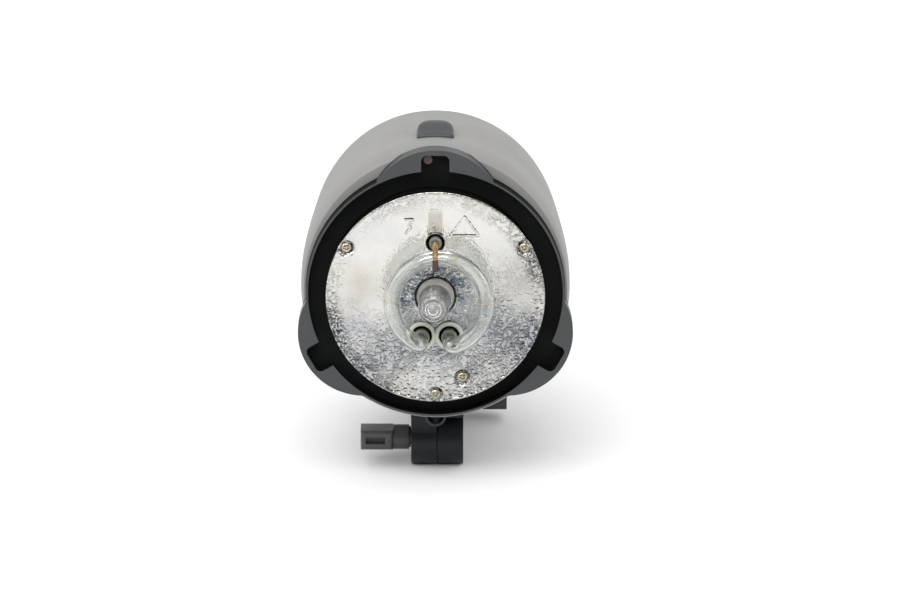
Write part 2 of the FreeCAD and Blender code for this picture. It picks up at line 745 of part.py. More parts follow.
def make_stand_arm():
    """Moving half of the bracket: right knuckle, web and the socket for a stand spigot."""
    radius = "knuckle_radius - 0.3"
    web = block("arm_web", "knuckle_width", "24", "2 * (knuckle_radius)",
                RIGHT_FACE + " + knuckle_width / 2", "pivot_depth", PIVOT_RISE + " - knuckle_radius")
    barrel = rod("arm_barrel", radius, "arm_length - 16.5", "bracket_side", "pivot_depth + 16.5", PIVOT_RISE)
    foot = block("arm_foot", "14", "arm_length - 16.5", "8", "bracket_side", "pivot_depth + 16.5",
                 PIVOT_RISE + " - knuckle_radius")
    solid = fuse("arm_solid", [knuckle("arm_knuckle", RIGHT_FACE), web, barrel, foot])
    end = "pivot_depth + arm_length - spigot_depth"
    tools = [rod("arm_spigot_hole", "spigot_bore + 1.2", "spigot_depth + 1", "bracket_side", end, PIVOT_RISE),
             rod("arm_bolt_hole", "bolt_radius + 0.02", "40", "-5", "pivot_depth", PIVOT_RISE, "+X"),
             rod("arm_head_pocket", "7.2", "10", RIGHT_FACE + " + knuckle_width - 4.2", "pivot_depth",
                 PIVOT_RISE, "+X"),
             rod("arm_clamp_hole", "3.1", "20", "bracket_side", "pivot_depth + clamp_reach", PIVOT_RISE, "+X")]
    finish(cut("stand_arm", solid, *tools))

    lining = pipe("socket_lining", "spigot_bore + 1.15", "spigot_bore", "spigot_depth - 0.5", "bracket_side",
                  end + " + 0.5", PIVOT_RISE)
    lining_hole = rod("lining_clamp_hole", "3.1", "20", "bracket_side", "pivot_depth + clamp_reach",
                      PIVOT_RISE, "+X")
    finish(cut("socket_sleeve", lining, lining_hole))


def make_tilt_hardware():
    """Cross bolt with its hexagon held in the arm, and the friction washer between the knuckles."""
    head_face = RIGHT_FACE + " + knuckle_width - 4"
    shank = rod("bolt_shank", "bolt_radius", "31", "-20", "pivot_depth", PIVOT_RISE, "+X")
    body = new_body("bolt_head", head_face, "pivot_depth", PIVOT_RISE, "+X")
    outline = new_sketch(body, "bolt_hexagon")
    polygon(outline, [("6.9 * cos(%d deg)" % (60 * i), "6.9 * sin(%d deg)" % (60 * i)) for i in range(6)])
    pad(body, "bolt_head_pad", outline, "3.8")
    finish(fuse("tilt_bolt", [shank, body]))
    finish(pipe("friction_washer", "11", "bolt_radius + 0.1", "2 * knuckle_gap - 0.1",
                "bracket_side - knuckle_gap + 0.05", "pivot_depth", PIVOT_RISE, "+X"))


def make_tilt_knob():
    """Clamp lever on the left: round shank and a slotted paddle."""
    shank_face = LEFT_FACE + " - 1.2"
    neck = rod("knob_neck", "5.6", "1.0", shank_face + " + 1.0", "pivot_depth", PIVOT_RISE, "-X")
    shank = rod("knob_shank", "6.5", "8.4", shank_face, "pivot_depth", PIVOT_RISE, "-X")
    paddle = block("knob_paddle", "17", "15", "10.4", shank_face + " - 16.8", "pivot_depth - 7.5",
                   PIVOT_RISE + " - 5.2")
    soft_edges = find_edges(paddle, lambda edge: runs_along(edge, V(1, 0, 0))
                            or runs_along(edge, V(0, 0, 1)))
    bolt_room = rod("knob_bolt_room", "bolt_radius + 0.1", "9", "-20.5", "pivot_depth", PIVOT_RISE, "+X")
    slot = block("knob_slot", "10", "4", "3.6", shank_face + " - 17.6", "pivot_depth - 8.5",
                 PIVOT_RISE + " - 1.8")
    solid = fuse("knob_solid", [neck, shank, rounded("knob_paddle_soft", paddle, 1.8, soft_edges)])
    finish(cut("tilt_knob", solid, bolt_room, slot))


def fluted_knob(name, radius, length, flutes, side, depth, rise, toward):
    """Round knob with scalloped grip and a softened outer rim."""
    body = new_body(name, side, depth, rise, toward)
    disc = new_sketch(body, name + "_disc")
    circle_at(disc, "rim", radius)
    pad(body, name + "_pad", disc, length)
    scallop = new_sketch(body, name + "_scallop")
    circle_at(scallop, "scallop", "2", radius + " + 1.1", "0")
    groove = pocket(body, name + "_groove", scallop, length + " + 1", reverse=True)
    repeat_round(body, name + "_flutes", groove, flutes)
    return body


def make_stand_clamp():
    """Knob, threaded stud and brass tip that press on the stand spigot."""
    depth = "pivot_depth + clamp_reach"
    knob = fluted_knob("clamp_grip", "9.5", "13", 8, "bracket_side + 24", depth, PIVOT_RISE, "+X")
    collar = rod("clamp_collar", "5.5", "7.2", "bracket_side + 16.9", depth, PIVOT_RISE, "+X")
    stud = rod("clamp_stud", "3", "18", "bracket_side + spigot_bore + 2.2", depth, PIVOT_RISE, "+X")
    finish(fuse("stand_clamp_knob", [knob, collar, stud]))
    finish(rod("clamp_tip", "2.6", "1.9", "bracket_side + spigot_bore + 0.2", depth, PIVOT_RISE, "+X"))


# ---- rear panel controls -----------------------------------------------------------------------

PANEL_BACK = "case_length - panel_inset - panel_thick"
PANEL_FACE = "case_length - panel_inset"


def make_panel_controls():
    for name, side in KEYS:
        finish(turned(name, [
            ("0", "0"),
            ("key_radius + 0.9", "0"),
            ("key_radius + 0.9", "1"),
            ("key_radius", "1"),
            ("key_radius", "5.4"),
            ("key_radius - 0.7", "6"),
            ("0", "6"),
        ], side="%g" % side, depth=PANEL_BACK + " - 1.1", rise="-8"))
    finish(block("display_window", "25.8", "1.6", "10.8", "0", PANEL_FACE + " - 1.4", "5.1"))
    finish(block("display_module", "25", "8", "10", "0", PANEL_FACE + " - 9.6", "5.5"))

    cell = [rod("cell_body", "3.1", "6", "24", PANEL_FACE + " - 5", "9"),
            ball("cell_ball", "3.1", "24", PANEL_FACE + " + 1", "9")]
    finish(fuse("photocell_dome", cell))
    finish(pipe("sync_jack", "3", "jack_bore", "17", "-24", PANEL_FACE + " - 15.5", "9"))
    finish(turned("fuse_cap", [
        ("0", "0"),
        ("5", "0"),
        ("5", "22"),
        ("6.4", "22"),
        ("6.4", "25"),
        ("0", "25"),
    ], side="30", depth=PANEL_FACE + " - 21.9", rise="-22"))


def make_mains_inlet():
    """Three-pin appliance inlet: flanged housing open to the back, with its contact pins."""
    housing = block("inlet_housing", "27.2", "22.5", "19.8", "8", PANEL_FACE + " - 22", "-40.9")
    flange = block("inlet_flange", "31", "2", "23.4", "8", PANEL_FACE + " + 0.05", "-42.7")
    opening = block("inlet_opening", "24.2", "18", "16.6", "8", PANEL_FACE + " - 14", "-39.3")
    finish(cut("mains_inlet", fuse("inlet_solid", [housing, flange]), opening))
    pins = [block("inlet_pin%d" % i, "2", "12", "4", "8 + %g" % side, PANEL_FACE + " - 13.9", rise)
            for i, (side, rise) in enumerate([(-7, "-35.5"), (0, "-31.5"), (7, "-35.5")])]
    finish(group("inlet_pins", pins))


def make_power_rocker():
    frame = block("rocker_body", "13.2", "14.5", "19.2", "-21", PANEL_FACE + " - 14", "-37.6")
    bezel = block("rocker_bezel", "16", "1.2", "22", "-21", PANEL_FACE + " + 0.05", "-39")
    room = block("rocker_room", "10.6", "14", "16.6", "-21", PANEL_FACE + " - 8", "-36.3")
    finish(cut("rocker_frame", fuse("rocker_solid", [frame, bezel]), room))
    cap = block("rocker_cap", "10", "7", "14.6", "-21", PANEL_FACE + " - 4", "-35.3")
    finish(fuse("power_rocker", [cap, rod("rocker_pin", "1.2", "10.4", "-26.2", PANEL_FACE + " - 2.4",
                                          "-28", "+X")]))


# ---- inside ------------------------------------------------------------------------------------

def make_chassis():
    tray = block("tray_plate", "56", "140", "2", "0", "62", "-44")
    spots = [(-13, "64", 17.4), (13, "64", 17.4), (-13, "186", 8.2), (13, "186", 8.2)]
    legs = [block("tray_leg%d" % i, "8", "8", "%g" % tall, "%g" % side, depth, "-44 - %g" % tall)
            for i, (side, depth, tall) in enumerate(spots)]
    finish(fuse("chassis_tray", [tray] + legs))


def make_capacitors():
    cans = []
    for row, rise in enumerate(("-29.3", "-3.7")):
        for column, side in enumerate(("-13", "13")):
            cans.append(rod("capacitor%d%d" % (row, column), "12.4", "58", side, "64", rise))
    finish(group("flash_capacitors", cans))


def make_boards():
    finish(block("main_board", "60", "58", "1.6", "0", "64", "11"))
    chips = [block("chip%d" % i, "9", "12", "5", "%g" % (-20 + 13 * i), "%g" % (72 + 9 * (i % 2)), "12.6")
             for i in range(4)]
    finish(group("board_components", chips))
    finish(block("control_board", "64", "1.6", "26", "0", "203", "-13"))
    finish(block("key_switches", "56", "5", "6", "0", "204.7", "-11"))


def make_charger():
    finish(fuse("charging_transformer", [
        block("transformer_core", "32", "30", "24", "-10", "150", "-38"),
        block("transformer_coil", "24", "36", "32", "-10", "147", "-42"),
    ]))
    fins = [block("sink_fin%d" % i, "2", "38", "28", "%g" % (12 + 4.5 * i), "148", "-39") for i in range(4)]
    finish(fuse("heat_sink", [block("sink_base", "18", "38", "3", "18.8", "148", "-42")] + fins))
    finish(rod("trigger_coil", "8", "20", "-26", "28", "22"))


def make_fan():
    """Square frame with a round duct, and the rotor that spins in it."""
    frame = block("fan_square", "56", "15", "56", "0", "128", "-32")
    duct = rod("fan_duct", "26", "11", "0", "132", "-4")
    window = rod("fan_window", "25", "20", "0", "126", "-4")
    hub_plate = rod("fan_hub_plate", "11", "2", "0", "128", "-4")
    spokes = []
    for i in range(3):
        strut = spoke("fan_strut%d" % i, "3", "9", "27", "128", "2", 90 + 120 * i)
        strut.setExpression(".Placement.Base.z", linked("axis_height - 4 + 9 * sin(%d deg) - 1.5 * cos(%d deg)"
                                                        % (90 + 120 * i, 90 + 120 * i)))
        spokes.append(strut)
    shell = cut("fan_shell", frame, duct, window)
    finish(fuse("fan_frame", [shell, hub_plate] + spokes))

    body = new_body("fan_rotor", "0", "131", "-4", "+Y")
    hub = new_sketch(body, "rotor_hub")
    circle_at(hub, "hub", "10")
    pad(body, "rotor_hub_pad", hub, "9")
    blade = new_sketch(body, "rotor_blade")
    polygon(blade, [("8", "-2.6"), ("23.6", "-6"), ("24", "-4.2"), ("8", "-0.6")])
    blade_pad = pad(body, "rotor_blade_pad", blade, "8")
    repeat_round(body, "rotor_blades", blade_pad, 7)
    finish(body)


def make_heat_baffle():
    plate = rod("baffle_disc", "44", "1.2", "0", "50", "-4")
    finish(cut("heat_baffle", plate, rod("baffle_hole", "14", "4", "0", "49", "-4")))


def make_case_screws():
    """Four screws from the back panel into the rear casing's corner posts."""
    screws = []
    for i, (side, rise) in enumerate([(-30, 8), (33, 8), (-33, -22), (-5, -48)]):
        head = rod("case_screw%d_head" % i, "2.4", "1.4", "%g" % side, PANEL_FACE + " + 0.05", "%g" % rise)
        slot = block("case_screw%d_slot" % i, "3.6", "1.6", "0.8", "%g" % side, PANEL_FACE + " + 0.9",
                     "%g" % (rise - 0.4))
        screws.append(cut("case_screw%d" % i, head, slot))
    finish(group("panel_screws", screws))


def check_and_export():
    doc.recompute()
    faults = [obj.Name for obj in doc.Objects if "Invalid" in obj.State or "Error" in obj.State]
    for obj in NODES:
        if obj.Shape.isNull() or not obj.Shape.isValid() or obj.Shape.Volume < 1:
            faults.append(obj.Label + " shape")
    if faults:
        sys.exit("failed objects: " + ", ".join(faults))
    os.makedirs("parts", exist_ok=True)
    for obj in NODES:
        obj.Shape.exportStep("parts/%s.step" % obj.Label)
    print(len(NODES), "sub-parts")


make_bayonet_ring()
make_front_shell()
make_rear_shell()
make_rear_panel()
make_drum()
make_reflector_plate()
make_plate_screws()
make_screw_bosses()
make_socket_carrier()
make_modelling_lamp()
make_lamp_socket()
make_flash_tube()
make_tube_base()
make_tube_sockets()
make_trigger()
make_release()
make_head_yoke()
make_umbrella_parts()
make_stand_arm()
make_tilt_hardware()
make_tilt_knob()
make_stand_clamp()
make_panel_controls()
make_mains_inlet()
make_power_rocker()
make_chassis()
make_capacitors()
make_boards()
make_charger()
make_fan()
make_heat_baffle()
make_case_screws()
check_and_export()
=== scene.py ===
import json
import math

import bmesh
import bpy
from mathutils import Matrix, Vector, noise


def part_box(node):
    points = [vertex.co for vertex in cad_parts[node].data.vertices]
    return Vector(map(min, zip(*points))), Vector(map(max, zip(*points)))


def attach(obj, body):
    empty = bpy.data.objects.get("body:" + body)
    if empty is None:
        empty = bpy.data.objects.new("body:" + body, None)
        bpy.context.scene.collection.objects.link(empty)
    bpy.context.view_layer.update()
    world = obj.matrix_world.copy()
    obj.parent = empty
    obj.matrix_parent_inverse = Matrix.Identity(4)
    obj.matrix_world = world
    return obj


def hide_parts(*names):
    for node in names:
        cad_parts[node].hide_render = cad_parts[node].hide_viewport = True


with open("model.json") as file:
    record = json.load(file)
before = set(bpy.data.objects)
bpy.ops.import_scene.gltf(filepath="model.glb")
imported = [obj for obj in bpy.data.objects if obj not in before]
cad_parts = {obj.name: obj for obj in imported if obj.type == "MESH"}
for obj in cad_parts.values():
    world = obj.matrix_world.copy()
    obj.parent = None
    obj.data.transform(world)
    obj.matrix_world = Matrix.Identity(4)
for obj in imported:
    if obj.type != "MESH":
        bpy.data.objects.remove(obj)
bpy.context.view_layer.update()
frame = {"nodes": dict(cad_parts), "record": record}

MM = 0.001
NODES = frame["nodes"]

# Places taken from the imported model. The lamp axis runs along Y through the plate's middle.
plate_low, plate_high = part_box("reflector_plate")
AXIS = Vector(((plate_low.x + plate_high.x) / 2, 0, (plate_low.z + plate_high.z) / 2))
PLATE_FRONT = plate_low.y
ring_low, ring_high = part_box("bayonet_ring")
LOBE_FACE = ring_low.y


def at(side, forward, rise):
    """A point given in millimetres: across, in front of the plate, and above the lamp axis."""
    return Vector((AXIS.x + side * MM, PLATE_FRONT - forward * MM, AXIS.z + rise * MM))


# ---- places on the plate, in millimetres from the lamp axis -----------------------------------

PLATE_EDGE = 56.2
SHEET = 0.7
SCREW_ANGLES = (30, 150, 270)
SCREW_CIRCLE = 52.6
LAMP_HOLE = 10.4
LEG_HOLES = [(-7.1, -20.7), (7.1, -20.7)]
LEG_HOLE = 5.4
TRIGGER_RISE = 28.8
TRIGGER_HOLE = 4.7
EARTH_SCREW = (13.8, -43.4)
DISH = 1.5


def screw_spots():
    rim = [(SCREW_CIRCLE * math.cos(math.radians(a)), SCREW_CIRCLE * math.sin(math.radians(a)))
           for a in SCREW_ANGLES]
    return rim + [EARTH_SCREW]


# ---- camera, floor and light ------------------------------------------------------------------

VIEW_DOWN = math.radians(17.4)
VIEW_DISTANCE = 4.0
FOCAL = 311.6
AIM_RIGHT = 7.5 * MM
AIM_BELOW = 3.34 * MM


def add_camera():
    bpy.context.scene.view_settings.view_transform = "Standard"
    data = bpy.data.cameras.new("camera")
    data.lens = FOCAL
    data.sensor_width = 36
    data.clip_end = 20
    camera = bpy.data.objects.new("camera", data)
    bpy.context.scene.collection.objects.link(camera)
    forward = Vector((0, math.cos(VIEW_DOWN), -math.sin(VIEW_DOWN)))
    up = Vector((0, math.sin(VIEW_DOWN), math.cos(VIEW_DOWN)))
    target = Vector((AXIS.x + AIM_RIGHT, LOBE_FACE, AXIS.z)) - up * AIM_BELOW
    camera.location = target - forward * VIEW_DISTANCE
    camera.rotation_euler = forward.to_track_quat("-Z", "Y").to_euler()
    bpy.context.scene.camera = camera


def add_softbox(name, place, target, size, power, tint=(1, 1, 1)):
    data = bpy.data.lights.new(name, "AREA")
    data.shape = "RECTANGLE"
    data.size, data.size_y = size
    data.energy = power
    data.color = tint
    light = bpy.data.objects.new(name, data)
    bpy.context.scene.collection.objects.link(light)
    light.location = place
    light.rotation_euler = (Vector(target) - Vector(place)).to_track_quat("-Z", "Y").to_euler()


def add_world():
    """White room, darker in front of the lamp where the camera's side of the studio is."""
    world = bpy.data.worlds.new("studio")
    bpy.context.scene.world = world
    world.use_nodes = True
    tree = world.node_tree
    coords = tree.nodes.new("ShaderNodeTexCoord")
    split = tree.nodes.new("ShaderNodeSeparateXYZ")
    shade = tree.nodes.new("ShaderNodeMapRange")
    shade.inputs["From Min"].default_value = -0.40
    shade.inputs["From Max"].default_value = -0.80
    shade.inputs["To Min"].default_value = 1.0
    shade.inputs["To Max"].default_value = 0.10
    background = tree.nodes["Background"]
    tree.links.new(coords.outputs["Generated"], split.inputs[0])
    tree.links.new(split.outputs["Y"], shade.inputs["Value"])
    tree.links.new(shade.outputs["Result"], background.inputs["Color"])
    background.inputs["Strength"].default_value = 1.12


def add_stage():
    mesh = bpy.data.meshes.new("floor")
    reach = 6.0
    corners = [(-reach, -reach, 0), (reach, -reach, 0), (reach, reach, 0), (-reach, reach, 0)]
    mesh.from_pydata(corners, [], [(0, 1, 2, 3)])
    floor = bpy.data.objects.new("floor", mesh)
    bpy.context.scene.collection.objects.link(floor)
    floor.data.materials.append(floor_material())
    add_world()
    add_softbox("softbox_top", (-0.15, 0.1, 1.6), (0, 0, 0.1), (1.6, 1.2), 2)
    add_softbox("softbox_front", (-0.25, -1.7, 1.6), (0, -0.05, 0.11), (1.3, 0.9), 26)
    add_softbox("softbox_left", (-1.3, -0.9, 1.0), (0, -0.05, 0.11), (0.8, 1.0), 7)
    add_softbox("softbox_right", (1.5, -0.4, 0.8), (0, 0, 0.11), (0.6, 0.9), 5)


# ---- materials --------------------------------------------------------------------------------

class Shader:
    """A material being wired: one Principled surface and the nodes that feed it."""

    def __init__(self, name):
        self.material = bpy.data.materials.new(name)
        self.material.use_nodes = True
        self.tree = self.material.node_tree
        self.surface = self.tree.nodes["Principled BSDF"]
        self.coords = self.tree.nodes.new("ShaderNodeTexCoord").outputs["Object"]

    def node(self, kind, **inputs):
        made = self.tree.nodes.new(kind)
        for key, value in inputs.items():
            made.inputs[key.replace("_", " ")].default_value = value
        return made

    def link(self, source, target):
        self.tree.links.new(source, target)

    def set(self, **values):
        for key, value in values.items():
            self.surface.inputs[key.replace("_", " ")].default_value = value

    def noise(self, scale, detail=3.0, roughness=0.5, stretch=None):
        texture = self.node("ShaderNodeTexNoise", Scale=scale, Detail=detail, Roughness=roughness)
        source = self.coords
        if stretch:
            mapping = self.tree.nodes.new("ShaderNodeMapping")
            mapping.inputs["Scale"].default_value = stretch
            self.link(self.coords, mapping.inputs["Vector"])
            source = mapping.outputs["Vector"]
        self.link(source, texture.inputs["Vector"])
        return texture.outputs["Fac"]

    def ramp(self, source, stops):
        """Colour between stops of (position, colour)."""
        made = self.tree.nodes.new("ShaderNodeValToRGB")
        elements = made.color_ramp.elements
        while len(elements) < len(stops):
            elements.new(0.5)
        for element, (position, colour) in zip(elements, stops):
            element.position = position
            element.color = (*colour, 1) if len(colour) == 3 else colour
        self.link(source, made.inputs["Fac"])
        return made.outputs["Color"]

    def spread(self, source, low, high, start=0.3, stop=0.7):
        """Rescale a pattern to a range of values."""
        made = self.tree.nodes.new("ShaderNodeMapRange")
        for key, value in (("From Min", start), ("From Max", stop), ("To Min", low), ("To Max", high)):
            made.inputs[key].default_value = value
        self.link(source, made.inputs["Value"])
        return made.outputs["Result"]

    def combine(self, kind, first, second=None, amount=None):
        made = self.tree.nodes.new("ShaderNodeMath")
        made.operation = kind
        self.link(first, made.inputs[0])
        if second is not None:
            self.link(second, made.inputs[1])
        elif amount is not None:
            made.inputs[1].default_value = amount
        return made.outputs[0]

    def distance(self, point):
        """How far each spot is from a point."""
        made = self.node("ShaderNodeVectorMath")
        made.operation = "DISTANCE"
        self.link(self.coords, made.inputs[0])
        made.inputs[1].default_value = point
        return made.outputs["Value"]

    def mix(self, factor, first, colour):
        """Blend a colour socket towards a plain colour."""
        made = self.tree.nodes.new("ShaderNodeMix")
        made.data_type = "RGBA"
        self.link(factor, made.inputs["Factor"])
        self.link(first, made.inputs[6])
        made.inputs[7].default_value = (*colour, 1)
        return made.outputs[2]

    def bump(self, height, depth, strength=1.0, below=None):
        made = self.tree.nodes.new("ShaderNodeBump")
        made.inputs["Strength"].default_value = strength
        made.inputs["Distance"].default_value = depth
        self.link(height, made.inputs["Height"])
        if below is not None:
            self.link(below, made.inputs["Normal"])
        self.link(made.outputs["Normal"], self.surface.inputs["Normal"])
        return made.outputs["Normal"]

    def soft_edges(self, radius):
        """Rounded look on the sharp edges of a part."""
        made = self.tree.nodes.new("ShaderNodeBevel")
        made.samples = 6
        made.inputs["Radius"].default_value = radius
        return made.outputs["Normal"]

    def edge_wear(self, low=0.52, high=0.62):
        geometry = self.tree.nodes.new("ShaderNodeNewGeometry")
        return self.spread(geometry.outputs["Pointiness"], 0.0, 1.0, low, high)


def shades(colour, *factors):
    return [tuple(min(1.0, part * factor) for part in colour) for factor in factors]


def moulded(name, colour, rough, grain=900.0, grain_depth=0.03, mottle=0.08, edge=0.35, wear=0.25,
            specular=0.5):
    """Moulded plastic: fine texture, faint mottling, polished and paler along its edges."""
    shader = Shader(name)
    dark, plain, pale = shades(colour, 1 - mottle, 1.0, 1 + mottle)
    mottled = shader.ramp(shader.noise(38.0, 4.0), [(0.3, dark), (0.5, plain), (0.7, pale)])
    worn = tuple(min(1.0, part * 1.5 + 0.02) for part in colour)
    rubbed = shader.combine("MULTIPLY", shader.edge_wear(), shader.spread(shader.noise(140.0), 0.0, wear))
    shader.link(shader.mix(rubbed, mottled, worn), shader.surface.inputs["Base Color"])
    smears = shader.spread(shader.noise(24.0, 5.0, 0.6), rough - 0.06, rough + 0.08)
    shader.link(smears, shader.surface.inputs["Roughness"])
    shader.set(Specular_IOR_Level=specular)
    shader.bump(shader.noise(grain, 2.0), grain_depth * MM, 0.6, shader.soft_edges(edge * MM))
    return shader.material


def metal(name, colour, rough, scratch=(1, 1, 40), depth=0.01, mottle=0.06, edge=0.25):
    """Worked metal: directional scratches and a little tarnish."""
    shader = Shader(name)
    low, mid, high = shades(colour, 1 - 2 * mottle, 1.0, 1 + mottle)
    shader.link(shader.ramp(shader.noise(60.0, 4.0), [(0.25, low), (0.5, mid), (0.75, high)]),
                shader.surface.inputs["Base Color"])
    shader.set(Metallic=1.0)
    shader.link(shader.spread(shader.noise(90.0, 4.0), rough - 0.05, rough + 0.1),
                shader.surface.inputs["Roughness"])
    lines = shader.noise(400.0, 3.0, 0.6, scratch)
    shader.bump(lines, depth * MM, 0.5, shader.soft_edges(edge * MM))
    return shader.material


def hammered_plate():
    """Bright aluminium with worm-like veins whose dark colour is painted reflection of the dark surroundings:
    painted darkest at the rim, low down and round the screws, left out of the blue-grey middle round the lamp
    hole, with painted shade darkening the plate towards the lower right."""
    shader = Shader("hammered_aluminium")
    place = shader.node("ShaderNodeSeparateXYZ")
    shader.link(shader.coords, place.inputs[0])
    radius = shader.distance(at(0, 0, 0))

    # Ridged worm pattern: it drives the bump, and its dark veins are painted reflection standing in for the
    # dark surroundings mirrored in the hammered sheet.
    worms = shader.node("ShaderNodeTexNoise", Scale=330.0, Detail=2.0, Roughness=0.45, Distortion=1.3)
    shader.link(shader.coords, worms.inputs["Vector"])
    off_line = shader.combine("ABSOLUTE", shader.combine("SUBTRACT", worms.outputs["Fac"], amount=0.5))
    vein = shader.spread(off_line, 1.0, 0.0, 0.0, 0.12)

    # Blue-grey darker tint round the lamp hole, weaker on the veins. The painted veins are left out of this
    # zone.
    middle_zone = shader.spread(radius, 1.0, 0.0, 18 * MM, 21.5 * MM)
    middle_tint = shader.combine("MULTIPLY", middle_zone, shader.spread(shader.noise(55.0, 2.0), 0.5, 1.0, 0.42, 0.5))
    middle_tint = shader.combine("MULTIPLY", middle_tint, shader.spread(vein, 1.0, 0.1, 0.3, 0.9))
    # Where the veins are painted darkest as painted reflection: at the rim (less near its top) and low down
    # towards the right. depth also sets the bump relief.
    rim = shader.spread(radius, 0.0, 1.0, 46 * MM, 52 * MM)
    sideways = shader.combine("MULTIPLY", place.outputs["X"], amount=-0.3)
    lean = shader.combine("ADD", place.outputs["Z"], sideways)
    low = shader.spread(lean, 0.75, 0.03, AXIS.z - 40 * MM, AXIS.z + 18 * MM)
    rim = shader.combine("MULTIPLY", rim, shader.spread(lean, 0.95, 0.35, AXIS.z, AXIS.z + 45 * MM))
    patches = shader.spread(shader.noise(42.0, 3.0), 0.35, 1.25, 0.38, 0.6)
    depth = shader.combine("MULTIPLY", shader.combine("MAXIMUM", low, rim), patches)
    depth = shader.combine("MULTIPLY", depth, shader.spread(middle_zone, 1.0, 0.0, 0.0, 1.0))
    # Painted shade of the screw dimples: the veins painted at full darkness in a ring round each screw.
    for x, z in screw_spots():
        hollow = shader.spread(shader.distance(at(x, 0, z)), 1.0, 0.0, 3.3 * MM, 5.2 * MM)
        depth = shader.combine("MAXIMUM", depth, hollow)
    painted_reflection_veins = shader.combine("MULTIPLY", vein, depth)

    clean = shader.ramp(shader.noise(34.0, 5.0), [(0.3, (0.47, 0.45, 0.41)), (0.55, (0.59, 0.58, 0.555)),
                                                  (0.75, (0.50, 0.515, 0.53))])
    # Painted shade: the base tone painted darker, in patches, towards the lower right.
    painted_shade_lower_right = shader.combine("MULTIPLY", shader.spread(lean, 0.80, 0.0, AXIS.z - 28 * MM, AXIS.z + 26 * MM),
                          patches)
    painted_shade_tone = shader.mix(painted_shade_lower_right, clean, (0.34, 0.35, 0.36))
    middle_tinted = shader.mix(middle_tint, painted_shade_tone, (0.085, 0.105, 0.13))
    side = shader.combine("ABSOLUTE", shader.combine("SUBTRACT", place.outputs["X"], amount=AXIS.x))
    strip = shader.spread(side, 0.75, 0.0, 3.3 * MM, 3.9 * MM)
    top_end = shader.spread(place.outputs["Z"], 1.0, 0.0, AXIS.z + 44 * MM, AXIS.z + 47.5 * MM)
    foot = shader.spread(place.outputs["Z"], 0.0, 1.0, AXIS.z + 32.5 * MM, AXIS.z + 36 * MM)
    strip = shader.combine("MULTIPLY", strip, shader.combine("MULTIPLY", top_end, foot))
    banded = shader.mix(strip, middle_tinted, (0.36, 0.34, 0.29))
    # The veins painted near-black: painted reflection.
    shader.link(shader.mix(painted_reflection_veins, banded, (0.05, 0.055, 0.06)), shader.surface.inputs["Base Color"])
    shader.set(Metallic=1.0)
    shader.link(shader.spread(shader.noise(50.0, 4.0), 0.09, 0.17), shader.surface.inputs["Roughness"])
    relief = shader.combine("ADD", shader.combine("MAXIMUM", depth, middle_zone), amount=0.18)
    pressed = shader.combine("MULTIPLY", vein, relief)
    grain = shader.combine("MULTIPLY", shader.noise(800.0, 3.0), amount=0.45)
    shader.bump(shader.combine("ADD", grain, pressed), 0.13 * MM, 0.8)
    return shader.material


def clear_glass(name, tint=(0.90, 0.91, 0.89), rough=0.02, streak=0.03):
    """Drawn quartz: faint flow lines along it, a little tint."""
    shader = Shader(name)
    shader.link(shader.ramp(shader.noise(70.0, 3.0), [(0.35, tint), (0.7, (0.95, 0.97, 0.96))]),
                shader.surface.inputs["Base Color"])
    shader.set(Transmission_Weight=0.97, IOR=1.46)
    shader.link(shader.spread(shader.noise(120.0, 3.0), rough, rough + 0.04),
                shader.surface.inputs["Roughness"])
    shader.bump(shader.noise(180.0, 2.0, 0.5, (1, 0.4, 1)), streak * MM, 0.5)
    return shader.material


def frosted_glass():
    """Pressed glass with a milky surface."""
    shader = Shader("frosted_glass")
    shader.link(shader.ramp(shader.noise(160.0, 3.0), [(0.3, (0.94, 0.95, 0.95)), (0.7, (1.0, 1.0, 1.0))]),
                shader.surface.inputs["Base Color"])
    shader.set(Transmission_Weight=0.92, IOR=1.45, Coat_Weight=0.6, Coat_Roughness=0.03)
    shader.link(shader.spread(shader.noise(90.0, 3.0), 0.02, 0.08), shader.surface.inputs["Roughness"])
    shader.bump(shader.noise(260.0, 2.0), 0.08 * MM, 0.5)
    return shader.material


def ceramic(name, colour, rough=0.45):
    shader = Shader(name)
    low, mid, high = shades(colour, 0.86, 1.0, 1.06)
    shader.link(shader.ramp(shader.noise(150.0, 5.0), [(0.3, low), (0.5, mid), (0.72, high)]),
                shader.surface.inputs["Base Color"])
    shader.link(shader.spread(shader.noise(200.0), rough - 0.1, rough + 0.1),
                shader.surface.inputs["Roughness"])
    shader.set(Subsurface_Weight=0.12, Subsurface_Scale=0.002)
    shader.bump(shader.noise(1400.0, 2.0), 0.02 * MM, 0.6, shader.soft_edges(0.3 * MM))
    return shader.material


def floor_material():
    """Pale seamless paper with the faintest tooth."""
    shader = Shader("paper")
    shader.link(shader.ramp(shader.noise(3.0, 3.0), [(0.3, (0.90, 0.90, 0.90)), (0.7, (0.92, 0.92, 0.92))]),
                shader.surface.inputs["Base Color"])
    shader.set(Roughness=0.75, Specular_IOR_Level=0.2)
    shader.bump(shader.noise(700.0, 2.0), 0.02 * MM, 0.3)
    return shader.material


